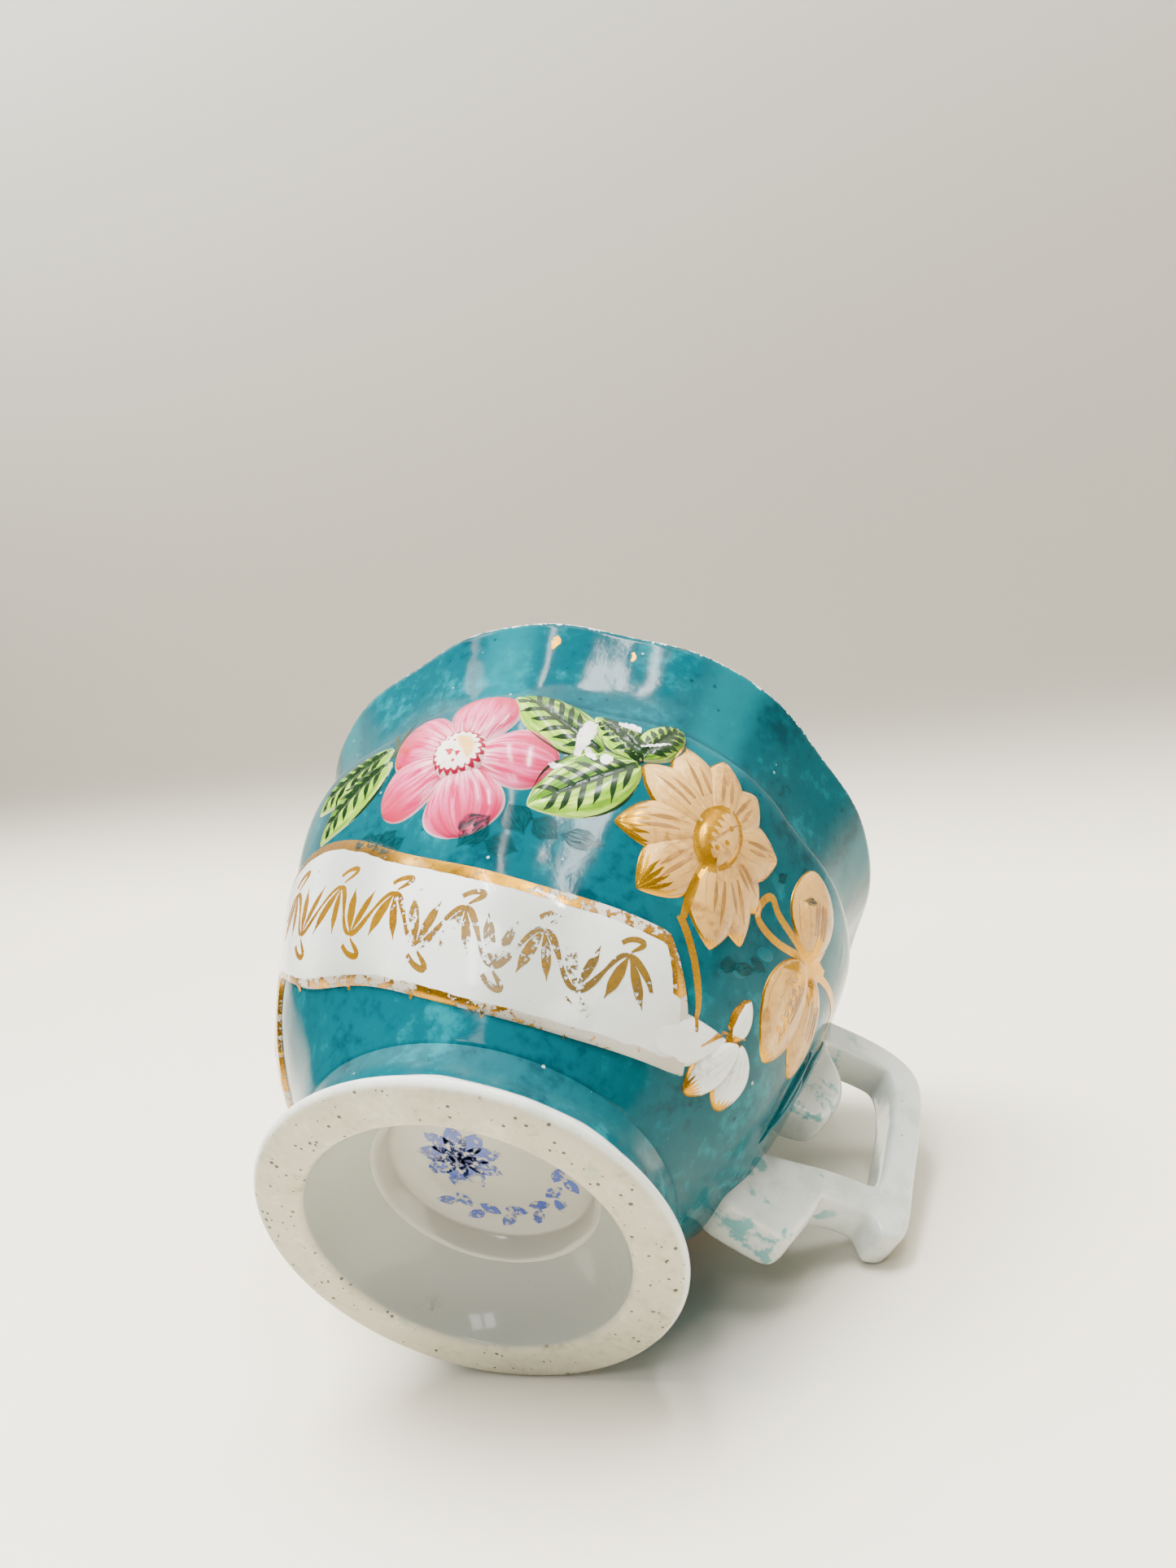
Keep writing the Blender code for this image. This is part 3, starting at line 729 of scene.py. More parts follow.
def handle_cage():
    thin = HANDLE_THICK / HEIGHT
    wide = HANDLE_THICK / HANDLE_REACH
    top = 0.775
    low = 0.405
    arm = [
        (handle_point(-0.62, top - thin - 0.01), handle_point(-0.62, top - 0.005)),
        (handle_point(-0.02, top - thin), handle_point(-0.02, top)),
        (handle_point(0.32, top - thin + 0.006), handle_point(0.34, top + 0.008)),
        (handle_point(0.62, top - thin), handle_point(0.70, top - 0.004)),
        (handle_point(1.0 - 1.05 * wide, 0.672), handle_point(1.0, 0.728)),
        (handle_point(0.985 - wide, 0.60), handle_point(0.985, 0.625)),
        (handle_point(0.925 - wide, 0.50), handle_point(0.925, 0.51)),
        (handle_point(0.88 - wide, low + 0.030), handle_point(0.87, low + 0.010)),
    ]
    heel = (handle_point(0.82 - wide, low + 0.004), handle_point(0.86, low - 0.052))
    lower = [
        heel,
        (handle_point(0.43, low), handle_point(0.47, low - thin)),
        (handle_point(0.24, low), handle_point(0.24, low - thin)),
        (handle_point(0.02, low - 0.008), handle_point(0.04, low - thin - 0.012)),
        (handle_point(-0.20, low - 0.020), handle_point(0.00, low - thin - 0.050)),
        (handle_point(-0.48, low - 0.022), handle_point(-0.20, low - thin - 0.132)),
        (handle_point(-0.95, low - 0.050), handle_point(-0.84, low - thin - 0.105)),
    ]
    bm = bmesh.new()
    strip(bm, arm + lower)
    spur = edge_between(bm, heel[1], lower[1][1])
    strip(bm, [(handle_point(0.77, 0.306), handle_point(0.57, 0.300))], spur)
    lobe = edge_between(bm, arm[0][0], arm[1][0])
    lobe_rows = ((-0.66, 0.24, 0.64), (-0.78, 0.20, 0.575), (-0.86, 0.04, 0.510))
    strip(bm, [(handle_point(a, up), handle_point(b, up)) for a, b, up in lobe_rows], lobe)
    bmesh.ops.recalc_face_normals(bm, faces=bm.faces)
    made = bmesh.ops.extrude_face_region(bm, geom=list(bm.faces), use_keep_orig=True)
    raised = set(new_corners(made))
    for vert in bm.verts:
        out = vert.co.x - AXIS_X
        pad = smooth((BELLY_RADIUS + 0.12 * HANDLE_REACH - out) / (0.2 * HANDLE_REACH))
        width = HANDLE_WIDE + (PAD_WIDE - HANDLE_WIDE) * pad
        vert.co.y = width / 2 if vert in raised else -width / 2
    bmesh.ops.recalc_face_normals(bm, faces=bm.faces)
    crease = bm.edges.layers.float.new("crease_edge")
    for edge in bm.edges:
        if edge.calc_face_angle(0.0) > math.radians(60):
            edge[crease] = 0.38
    return bm


handle = finish_piece("twig_handle", handle_cage(), (handle_glaze,), ("handle",))
rounding = handle.modifiers.new("rounding", "SUBSURF")
rounding.levels = 4
rounding.render_levels = 4
shown = handle.evaluated_get(bpy.context.evaluated_depsgraph_get())
rounded = bpy.data.meshes.new_from_object(shown)
handle.modifiers.clear()
handle.data = rounded
print("handle faces after rounding:", len(rounded.polygons))

# %% [markdown]
# ## Laying clay and paint on the wall
#
# Petals, leaves and the ribbon are thin clay laid on the bowl. Each starts as a flat grid. A grid
# knows how far along and across itself every corner is, and that is kept as its UV map, so paint
# can follow the petal. The corners are then moved onto the wall, domed, and a copy of the faces
# is pushed into the clay to close the shape. Each corner also keeps its distance to the border
# in metres, so that a gold outline has the same width on every petal.

# %% Grids, blades and domes
SIDES = (("front", 1.0), ("back", -1.0))


def fresh():
    bm = bmesh.new()
    bm.loops.layers.uv.new("paint")
    bm.verts.layers.float.new("border")
    bm.verts.layers.float.new("tag")
    return bm


def faces_of(corners):
    return list(dict.fromkeys(face for vert in corners for face in vert.link_faces))


def patch(bm, along, across):
    """Adds a grid and gives back {corner: (share along, share across)}."""
    paint = bm.loops.layers.uv["paint"]
    made = bmesh.ops.create_grid(bm, x_segments=along, y_segments=across, size=0.5)["verts"]
    shares = {vert: (vert.co.x + 0.5, vert.co.y + 0.5) for vert in made}
    for face in faces_of(made):
        for loop in face.loops:
            loop[paint].uv = shares[loop.vert]
    return shares


def backed(bm, shares):
    """Closes a grid with a copy of its faces, and gives back the copy's corners."""
    made = bmesh.ops.extrude_face_region(bm, geom=faces_of(shares), use_keep_orig=True)
    return new_corners(made)


def root_in(bm, shares, depth):
    """Closes a grid, and pushes its back towards the axis by this depth."""
    for vert in backed(bm, shares):
        vert.co -= Vector((vert.co.x - AXIS_X, vert.co.y, 0.0)).normalized() * depth


def put(bm, vert, point, border, tag):
    vert.co = point
    vert[bm.verts.layers.float["border"]] = border
    vert[bm.verts.layers.float["tag"]] = tag


# How deep the rim of a petal lies in the wall, and how deep its closed back goes.
SINK = 0.12 * MM
ROOT = 1.0 * MM
DOME_SPOKES = 48
DOME_RINGS = 14


def across_wall(base, tip):
    """The wall's radius between two places, the run from one to the other, and the way aside."""
    mean = wall_radius(0.5 * (base[1] + tip[1]) * HEIGHT)
    run = Vector((math.radians(tip[0] - base[0]) * mean, (tip[1] - base[1]) * HEIGHT))
    return mean, run, Vector((-run.y, run.x)).normalized()


def blade(bm, side, base, tip, width, rise, early=0.85, full=0.75, bend=0.0, groove=0.0,
          tag=0.0, along=30, across=14):
    """A domed petal or leaf between two places, each an angle in degrees and a share of height."""
    shares = patch(bm, along, across)
    mean, run, normal = across_wall(base, tip)
    for vert, (u, v) in shares.items():
        aside = 2.0 * v - 1.0
        half = crown = 0.0
        if 0 < u < 1:
            half = 0.5 * width * math.sin(math.pi * u**early) ** full
            crown = (1.0 - abs(aside) ** 2.6) * math.sin(math.pi * u**0.8) ** 0.5
        crown *= 1.0 - groove * math.exp(-((aside / 0.16) ** 2))
        flat = run * u + normal * (aside * half + bend * math.sin(math.pi * u))
        angle = side * (math.radians(base[0]) + flat.x / mean)
        point, _ = wall_point(angle, base[1] * HEIGHT + flat.y, rise * crown - SINK)
        put(bm, vert, point, (1.0 - abs(aside)) * half, tag)
    root_in(bm, shares, ROOT)


def dome(bm, side, centre, half_x, half_y, rise, power):
    """An oval button on the wall. Its UV map holds the turn and the share of the radius."""
    shares = patch(bm, DOME_SPOKES, DOME_RINGS)
    mean = wall_radius(centre[1] * HEIGHT)
    for vert, (turn, reach) in shares.items():
        x = half_x * reach * math.cos(math.tau * turn)
        y = half_y * reach * math.sin(math.tau * turn)
        angle = side * (math.radians(centre[0]) + x / mean)
        lift = rise * (1.0 - reach**power) - SINK
        point, _ = wall_point(angle, centre[1] * HEIGHT + y, lift)
        put(bm, vert, point, (1.0 - reach) * min(half_x, half_y), 0.0)
    root_in(bm, shares, ROOT)


print("sides:", [name for name, _ in SIDES])

# %% [markdown]
# ## The ribbon
#
# A white band runs round the front of the bowl like a paper scroll, high in the middle and low
# at both ends. A line of gold was painted along each edge and has flaked. The gold is a mask
# from the distance to the border, broken up by the worn gilding group: more is lost towards
# the ends, where hands rub.

# %% The ribbon's finish and shape
ribbon_glaze, bench, shader = glaze("ribbon_glaze_and_gold", 0.12, coat=0.3)
vector = bench.place_of()
along, across, _ = bench.shares()
colour, clouds = white_clay(bench, 0.7)
angle = round_axis(bench)[2]
# Painted shade: the ribbon's white is greyed in the dips between the flutes, where their shade
# falls.
painted_valley_shade = bench.band(off_dip(bench, angle), -0.4, 1.0)
colour = bench.wash(colour, painted_valley_shade, 0.7, pigment(172, 178, 170))
border = bench.kept("border")
wander = bench.times(bench.noise(vector, 260.0, 2.0), 0.7 * MM)
upper = bench.band(across, 0.49, 0.51)
line = bench.plus(bench.between(upper, 0.50 * MM, 1.35 * MM), wander)
inside_line = bench.band(bench.minus(border, line), 0.12 * MM, 0.0)
from_middle = bench.times(bench.apart(along, 0.5), 2.0)
rubbed = bench.between(bench.band(from_middle, 0.55, 1.0), 0.36, 0.66)
rubbed = bench.plus(rubbed, bench.between(upper, 0.10, -0.10))
gold = bench.gold(vector, 620.0, rubbed)
gilt = bench.times(inside_line, gold["Mask"])
stain = bench.times(bench.calc("SUBTRACT", inside_line, gilt, clamp=True), 0.45)
colour = bench.mix(stain, colour, pigment(150, 120, 70))
bench.plug(shader["Base Color"], bench.mix(gilt, colour, gold["Color"]))
bench.plug(shader["Metallic"], bench.times(gilt, 0.9))
shine = bench.between(clouds, 0.06, 0.14)
bench.plug(shader["Roughness"], bench.between(gilt, shine, gold["Roughness"]))
ripple = bench.noise(vector, 58.0, 2.0)
relief(bench, shader, bench.scaled(ripple, 22.0, gilt), 0.05 * MM, 0.8)

RIBBON_HALF_WIDTH = 0.096 * HEIGHT
RIBBON_LOW = 0.262 * HEIGHT
RIBBON_RISE = 0.285 * HEIGHT
RIBBON_LOW_ANGLE = 83.0
RIBBON_END_ANGLE = 107.5
RIBBON_LIFT = 1.0 * MM
RIBBON_ROOT = 1.6 * MM


def ribbon_middle(off):
    """Height of the ribbon's middle line, by the angle in degrees away from the front."""
    climb = max(RIBBON_LOW_ANGLE - math.hypot(off, 12.0), 0.0) / RIBBON_LOW_ANGLE
    lift = max(off - RIBBON_LOW_ANGLE, 0.0) / 30.0
    return RIBBON_LOW + RIBBON_RISE * climb**2.2 + 0.045 * HEIGHT * lift**2


def ribbon_place(along, across):
    """Angle and height of a place on the ribbon, and the half width of the ribbon there."""
    share = 2.0 * along - 1.0
    lean = (1.0 - across) * 13.5 * abs(share) ** 8
    off = share * RIBBON_END_ANGLE
    middle = ribbon_middle(abs(off))
    rise = ribbon_middle(abs(off + 0.5)) - ribbon_middle(abs(off - 0.5))
    slant = math.atan2(rise, math.radians(1.0) * wall_radius(middle))
    half = RIBBON_HALF_WIDTH * (1.0 - 0.20 * abs(share) ** 8)
    half += 0.034 * HEIGHT * math.exp(-(((abs(off) - 22.0) / 15.0) ** 2))
    aside = 2.0 * across - 1.0
    height = middle + aside * half * math.cos(slant)
    shift = aside * half * math.sin(slant) / wall_radius(middle)
    return math.pi + math.radians(off + math.copysign(lean, off)) - shift, height, half


ribbon_shape = fresh()
shares = patch(ribbon_shape, 360, 18)
for vert, (u, v) in shares.items():
    angle, height, half = ribbon_place(u, v)
    aside = abs(2.0 * v - 1.0)
    ends = smooth((1.0 - abs(2.0 * u - 1.0)) / 0.02)
    lift = RIBBON_LIFT * (1.0 - 0.45 * aside**6) * (0.55 + 0.45 * ends)
    point, _ = wall_point(angle, height, lift)
    from_end = (1.0 - abs(2.0 * u - 1.0)) * math.radians(RIBBON_END_ANGLE) * wall_radius(height)
    put(ribbon_shape, vert, point, min((1.0 - aside) * half, from_end), u)
root_in(ribbon_shape, shares, RIBBON_ROOT)
finish_piece("ribbon_band", ribbon_shape, (ribbon_glaze,), ("ribbon",), sharp=50)

# %% [markdown]
# ## The rose
#
# Five fat petals and a round eye. The painter loaded a wide brush with pink and pulled it from
# the rim of each petal to the middle, so the colour is streaked along the petal and leaves the
# edge almost white. The streaks are noise that is stretched along the UV map. The eye has a
# dotted crimson ring, a dab of yellow and a few red stamens.

# %% Rose glazes
rose_glaze, bench, shader = glaze("rose_enamel", 0.15, coat=0.15, specular=0.4)
along, across, _ = bench.shares()
tag = bench.kept("tag")
border = bench.kept("border")
streak = bench.drawn(1.6, 11.0, bench.times(tag, 40.0), 1.5, 4.0, 0.6, 0.3)
soft = bench.drawn(1.6, 11.0, bench.times(tag, 40.0), 0.5, 2.0)
colour = bench.mix(bench.band(streak, 0.36, 0.66), pigment(192, 30, 84), pigment(228, 104, 148))
shaded = bench.times(bench.band(along, 0.45, 0.85), bench.band(soft, 0.38, 0.56))
colour = bench.wash(colour, shaded, 0.8, pigment(184, 22, 70))
ridge = bench.times(bench.band(along, 0.55, 0.12), bench.band(streak, 0.40, 0.62))
colour = bench.wash(colour, ridge, 0.75, pigment(250, 226, 230))
pale_edge = bench.band(bench.scaled(soft, 0.9 * MM, border), 1.25 * MM, 0.45 * MM)
colour = bench.wash(colour, pale_edge, 0.75, pigment(250, 232, 234))
dabbed = bench.band(tag, 0.30, 0.34)
dab = bench.times(bench.band(across, 0.42, 0.62), bench.band(along, 0.52, 0.70))
dab = bench.times(dab, bench.band(streak, 0.42, 0.52), dabbed)
dab = bench.times(dab, bench.band(border, 0.1 * MM, 0.5 * MM))
colour = bench.mix(dab, colour, pigment(182, 16, 38))
bench.plug(shader["Base Color"], colour)
relief(bench, shader, streak, 0.05 * MM, 0.6)

eye_glaze, bench, shader = glaze("rose_eye_enamel", 0.16, coat=0.15, specular=0.4)
vector = bench.place_of()
turn, reach, _ = bench.shares()
scallop = bench.calc("ABSOLUTE", bench.calc("SINE", bench.times(turn, math.pi * 19)))
ring = bench.scaled(scallop, 0.11, 0.72)
near_ring = bench.apart(reach, ring)
uneven = bench.noise(vector, 900.0, 2.0)
crimson = bench.band(near_ring, bench.times(uneven, 0.17), bench.times(uneven, 0.10))
side_on = bench.calc("COSINE", bench.scaled(turn, math.tau, -0.5))
yellow = bench.band(bench.times(side_on, reach), 0.08, 0.22)
yellow = bench.times(yellow, bench.band(reach, 0.66, 0.5))
colour = bench.mix(bench.times(yellow, 0.85), pigment(240, 232, 220), pigment(232, 178, 60))
stamens = bench.dots(vector, 950.0, 1.5)
stamens = bench.times(stamens, bench.band(reach, 0.68, 0.60))
colour = bench.mix(stamens, colour, pigment(170, 26, 40))
outside = bench.band(reach, 0.80, 0.92)
colour = bench.mix(outside, colour, pigment(240, 190, 200))
bench.plug(shader["Base Color"], bench.mix(crimson, colour, pigment(150, 16, 52)))
relief(bench, shader, crimson, 0.06 * MM, 0.8)

# %% Rose petals and eye
ROSE_PETALS = (
    ((235.6, 0.604), (238.2, 0.762), 12.0 * MM),
    ((235.4, 0.598), (253.4, 0.594), 11.6 * MM),
    ((234.8, 0.592), (238.4, 0.430), 13.2 * MM),
    ((234.0, 0.594), (216.4, 0.540), 12.6 * MM),
    ((234.2, 0.604), (218.6, 0.690), 11.6 * MM),
)
for name, side in SIDES:
    petals = fresh()
    for number, (base, tip, width) in enumerate(ROSE_PETALS):
        rise = (1.45 + 0.14 * (number % 3)) * MM
        blade(petals, side, base, tip, width, rise, early=1.5, full=0.5, tag=0.1 * number + 0.02)
    finish_piece("rose_petals_" + name, petals, (rose_glaze,), ("rose_" + name,))
    eye = fresh()
    dome(eye, side, (234.6, 0.598), 4.7 * MM, 4.7 * MM, 2.2 * MM, power=9.0)
    finish_piece("rose_eye_" + name, eye, (eye_glaze,))

# %% [markdown]
# ## Leaves
#
# The leaves are lime green with paler edges, on domed clay with a shallow groove down the
# middle. The veins are separate brush strokes laid on top later, because a painter's stroke
# starts thick and ends in a point, and a pattern in the glaze can't do that as sharply.

# %% Leaf glaze and leaves
leaf_glaze, bench, shader = glaze("leaf_enamel", 0.15, coat=0.15, specular=0.4)
along, across, _ = bench.shares()
streak = bench.drawn(2.5, 9.0, bench.kept("tag"), 1.6, 4.0, 0.6, 0.4)
half = bench.band(across, 0.40, 0.60)
colour = bench.mix(half, pigment(76, 128, 14), pigment(134, 184, 34))
colour = bench.mix(bench.band(streak, 0.47, 0.70), colour, pigment(200, 232, 104))
colour = bench.wash(colour, bench.band(streak, 0.46, 0.30), 0.6, pigment(60, 108, 14))
by_rib = bench.times(bench.band(bench.apart(across, 0.5), 0.20, 0.02), bench.band(along, 0.95, 0.5))
colour = bench.wash(colour, by_rib, 0.65, pigment(44, 88, 18))
pale_edge = bench.band(bench.kept("border"), 0.65 * MM, 0.15 * MM)
colour = bench.wash(colour, pale_edge, 0.6, pigment(214, 230, 164))
bench.plug(shader["Base Color"], colour)
relief(bench, shader, streak, 0.05 * MM, 0.5)

LEAVES = {
    "leaf_left_upper": (((216.8, 0.690), (194.5, 0.652), 8.0 * MM, 0.6 * MM),),
    "leaf_left_lower": (((217.2, 0.656), (197.5, 0.552), 8.4 * MM, -0.3 * MM),),
    "leaf_long": (
        ((260.5, 0.640), (241.2, 0.764), 10.0 * MM, 0.7 * MM),
        ((268.0, 0.645), (257.0, 0.726), 6.2 * MM, 0.0),
    ),
    "leaf_small": (((266.8, 0.646), (272.8, 0.762), 7.0 * MM, -0.4 * MM),),
    "leaf_broad": (((267.8, 0.637), (249.4, 0.500), 12.0 * MM, 0.3 * MM),),
}
for name, side in SIDES:
    for node, blades in LEAVES.items():
        leaf = fresh()
        for number, (base, tip, width, bend) in enumerate(blades):
            blade(leaf, side, base, tip, width, 1.3 * MM, bend=bend, groove=0.30,
                  tag=base[0] + number)
        finish_piece(node + "_glazed_" + name, leaf, (leaf_glaze,),
                     (node + "_" + name,))

# %% [markdown]
# ## Gilded flowers
#
# The large blossom, the spray and the bud were painted in matte peach or left white, and then
# outlined in gold. The gold is widest at the tips, where short teeth of it run inwards. All
# that is one glaze recipe with two sets of colours. The number kept on each petal says how much
# gold its tip still has.

# %% Gilded glazes


def gilded(name, middle, deep, pale, roughness):
    material, bench, shader = glaze(name, roughness, coat=0.1, specular=0.4)
    vector = bench.place_of()
    along, across, _ = bench.shares()
    tag = bench.kept("tag")
    border = bench.kept("border")
    colour, clouds = bench.sponge(vector, 130.0, middle, deep, pale, 0.8)
    warp = bench.scaled(bench.noise(vector, 420.0, 1.0), 0.10, across)
    comb = bench.calc("PINGPONG", bench.times(warp, 6.5), 0.5)
    vein = bench.band(comb, 0.055, 0.02)
    reach = bench.times(bench.band(along, 0.12, 0.2), bench.band(along, 0.72, 0.50))
    colour = bench.wash(colour, bench.times(vein, reach), 0.7, deep)
    tooth = bench.calc("PINGPONG", bench.times(warp, 15.0), 1.0)
    start = bench.minus(1.02, bench.times(tag, 0.36))
    start = bench.scaled(tooth, bench.times(tag, 0.17), start)
    teeth = bench.band(bench.minus(along, start), 0.0, 0.012)
    wander = bench.scaled(bench.noise(vector, 330.0, 2.0), 0.45 * MM, 0.26 * MM)
    outline = bench.band(bench.minus(border, wander), 0.07 * MM, 0.0)
    painted = bench.calc("MAXIMUM", outline, teeth)
    gold = bench.gold(vector, 700.0, 0.16)
    gilt = bench.times(painted, gold["Mask"])
    colour = bench.wash(colour, painted, 0.5, deep)
    bench.plug(shader["Base Color"], bench.mix(gilt, colour, gold["Color"]))
    bench.plug(shader["Metallic"], bench.times(gilt, 0.85))
    matte = bench.between(clouds, roughness, roughness + 0.12)
    bench.plug(shader["Roughness"], bench.between(gilt, matte, gold["Roughness"]))
    relief(bench, shader, bench.scaled(vein, -0.4, gilt), 0.06 * MM, 0.8)
    return material


PEACH = pigment(206, 158, 84)
PEACH_DEEP = pigment(146, 96, 36)
PEACH_PALE = pigment(238, 198, 122)
peach_lustre = gilded("peach_lustre", PEACH, PEACH_DEEP, PEACH_PALE, 0.24)
white_gilt = gilded("white_and_gold", COOL_WHITE, pigment(178, 172, 152), WARM_WHITE, 0.14)

# %% Gilt blossom, spray and bud
BLOSSOM = (285.6, 0.563)
BLOSSOM_PETALS = (
    ((272.8, 0.712), 8.4, 0.5),
    ((267.8, 0.638), 8.2, 0.25),
    ((266.2, 0.510), 8.6, 1.0),
    ((274.6, 0.406), 9.6, 1.0),
    ((293.8, 0.388), 10.0, 0.35),
    ((300.4, 0.440), 8.0, 0.5),
    ((300.6, 0.516), 7.6, 0.5),
    ((300.0, 0.634), 9.4, 0.8),
    ((290.0, 0.706), 8.4, 0.2),
    ((281.8, 0.730), 8.2, 0.3),
)
SPRAY = {
    "spray_upper": ((317.9, 0.556), (309.0, 0.704), 12.4, 0.15),
    "spray_left": ((315.8, 0.536), (320.4, 0.338), 11.8, 0.4),
    "spray_right": ((321.5, 0.545), (333.6, 0.400), 9.6, 0.2),
}
BUD = (((311.0, 0.312), (307.6, 0.204), 6.4, 0.7), ((311.4, 0.316), (319.8, 0.232), 6.4, 0.7))
for name, side in SIDES:
    blossom = fresh()
    for tip, width, gild in BLOSSOM_PETALS:
        rise = (1.5 + 0.3 * (int(tip[0]) % 2)) * MM
        blade(blossom, side, BLOSSOM, tip, width * MM, rise, early=1.2, full=0.82, groove=0.12,
              tag=gild)
    finish_piece("gilt_blossom_petals_" + name, blossom, (peach_lustre,),
                 ("gilt_blossom_" + name,))
    heart = fresh()
    dome(heart, side, BLOSSOM, 3.9 * MM, 5.8 * MM, 2.1 * MM, power=5.0)
    finish_piece("gilt_blossom_heart_" + name, heart, (peach_lustre,))
    for node, (base, tip, width, gild) in SPRAY.items():
        leaf = fresh()
        blade(leaf, side, base, tip, width * MM, 1.45 * MM, early=0.95, full=0.62, groove=0.12,
              tag=gild)
        finish_piece(node + "_lustre_" + name, leaf, (peach_lustre,),
                     (node + "_" + name,))
    bud = fresh()
    for base, tip, width, gild in BUD:
        blade(bud, side, base, tip, width * MM, 1.7 * MM, early=1.1, full=0.6, tag=gild)
    finish_piece("bud_petals_" + name, bud, (white_gilt,), ("bud_" + name,))
    curl = fresh()
    blade(curl, side, (309.6, 0.304), (308.6, 0.388), 4.4 * MM, 1.0 * MM, tag=0.2)
    finish_piece("bud_leaf_curl_" + name, curl, (white_gilt,), ("bud_leaf_" + name,))
    tail = fresh()
    blade(tail, side, (287.0, 0.225), (311.5, 0.300), 6.6 * MM, 1.3 * MM, early=0.62, full=0.6,
          bend=-0.8 * MM)
    finish_piece("ribbon_tail_" + name, tail, (white_glaze,))

# %% [markdown]
# ## Stems under the turquoise
#
# The mould had more stems and small leaves than the painter picked out. Near the handle they
# lie under the ground colour as soft ridges, where the glaze is thin and pale on top.

# %% Covered relief
ridge_glaze, bench, shader = glaze("turquoise_over_relief", 0.12, coat=0.0, specular=0.14)
colour, clouds = turquoise(bench)
crown = bench.band(bench.kept("border"), 0.1 * MM, 0.9 * MM)
colour = bench.wash(colour, crown, 0.25, TEAL_PALE)
bench.plug(shader["Base Color"], colour)
relief(bench, shader, clouds, 0.05 * MM, 0.5)

COVERED = (
    ((346.2, 0.580), (342.6, 0.352), 2.2, 1.1),
    ((347.6, 0.640), (343.4, 0.392), 2.4, 0.9),
    ((341.6, 0.480), (340.4, 0.326), 2.2, 1.2),
    ((338.0, 0.520), (341.5, 0.300), 1.8, 0.8),
    ((299.8, 0.396), (306.0, 0.420), 3.4, 0.16),
    ((303.8, 0.462), (310.4, 0.490), 3.6, 0.16),
    ((299.4, 0.612), (305.6, 0.592), 3.8, 0.16),
    ((325.0, 0.700), (331.0, 0.646), 3.8, 0.16),
)
for name, side in SIDES:
    covered = fresh()
    for base, tip, width, rise in COVERED:
        blade(covered, side, base, tip, width * MM, rise * MM, early=1.0, full=0.6,
              along=24, across=8)
    finish_piece("covered_stems_" + name, covered, (ridge_glaze,))

# %% [markdown]
# ## Brush strokes
#
# Veins, gold stems and scrolls are strokes: a narrow grid that follows a curve through a few
# places, thick where the brush pressed. Each corner is dropped onto whatever lies below, found
# by shooting a ray at the clay, so a stroke climbs over a petal as paint does.

# %% Strokes that follow the clay
corners = []
faces = []
for piece in made_pieces:
    if piece.name != "twig_handle":
        first = len(corners)
        corners += [vert.co.copy() for vert in piece.data.vertices]
        faces += [[first + index for index in face.vertices] for face in piece.data.polygons]
clay = BVHTree.FromPolygons(corners, faces)
CLEAR = 6.0 * MM
# In millimetres: one degree round the belly, and one step along a stroke.
DEGREE_LENGTH = 0.8
STROKE_STEP = 0.55
STROKE_ROOT = 0.22 * MM


def lay(side, angle, share, lift):
    """The top of the clay at this place, and a little off it."""
    point, out = wall_point(side * math.radians(angle), share * HEIGHT)
    hit = clay.ray_cast(point + out * CLEAR, -out, 2 * CLEAR)[0]
    return (hit or point) + out * lift


def curve_through(path, count):
    """Evenly numbered places on a smooth curve through all the places of the path."""
    points = [Vector(place) for place in path]
    points = [2 * points[0] - points[1], *points, 2 * points[-1] - points[-2]]
    made = []
    for i in range(count + 1):
        t = i / count * (len(points) - 3)
        index = min(int(t), len(points) - 4)
        t -= index
        a, b, c, d = points[index:index + 4]
        made.append(0.5 * (2 * b + (c - a) * t + (2 * a - 5 * b + 4 * c - d) * t**2
                           + (3 * b - a - 3 * c + d) * t**3))
    return made


def stroke(bm, side, path, width, start=0.3, end=0.15, lift=0.05 * MM, tag=0.0, across=2):
    """A brush stroke. Its width is in millimetres, and start and end are shares of it."""
    length = sum(math.hypot((b[0] - a[0]) * DEGREE_LENGTH, (b[1] - a[1]) * HEIGHT / MM)
                 for a, b in zip(path, path[1:]))
    count = max(6, round(length / STROKE_STEP))
    places = curve_through(path, count)
    shares = patch(bm, count, across)
    for vert, (u, v) in shares.items():
        index = round(u * count)
        here = places[index]
        ahead = places[min(index + 1, count)] - places[max(index - 1, 0)]
        mean = wall_radius(here.y * HEIGHT)
        run = Vector((math.radians(ahead.x) * mean, ahead.y * HEIGHT)).normalized()
        press = start + (1 - start) * smooth(u / 0.35)
        if u >= 0.5:
            press = end + (1 - end) * smooth((1 - u) / 0.45)
        half = 0.5 * width * MM * press
        shift = (2 * v - 1) * half
        angle = here.x + math.degrees(-run.y * shift / mean)
        point = lay(side, angle, here.y + run.x * shift / HEIGHT, lift)
        put(bm, vert, point, (1 - abs(2 * v - 1)) * half, tag)
    root_in(bm, shares, STROKE_ROOT)


def midway(base, tip):
    """A straight path with a place in its middle, so that a stroke can swell there."""
    return base, ((base[0] + tip[0]) / 2, (base[1] + tip[1]) / 2), tip


def ink(name, colour, thick, roughness=0.2):
    """Dark enamel that is full in the middle of the stroke and streaked at its edges."""
    material, bench, shader = glaze(name, roughness)
    tone = bench.noise(bench.place_of(), 500.0, 2.0)
    lighter = tuple(min(1.0, 1.7 * c + 0.006) for c in colour[:3]) + (1.0,)
    bench.plug(shader["Base Color"], bench.mix(bench.band(tone, 0.45, 0.75), colour, lighter))
    drag = bench.drawn(3.0, 6.0, tone, 2.0, 3.0)
    bench.plug(shader["Alpha"], bench.band(drag, thick, thick + 0.10))
    return material


leaf_ink = ink("leaf_ink", pigment(18, 42, 14), 0.16)
vein_ink = ink("brown_vein", pigment(146, 104, 50), 0.30)

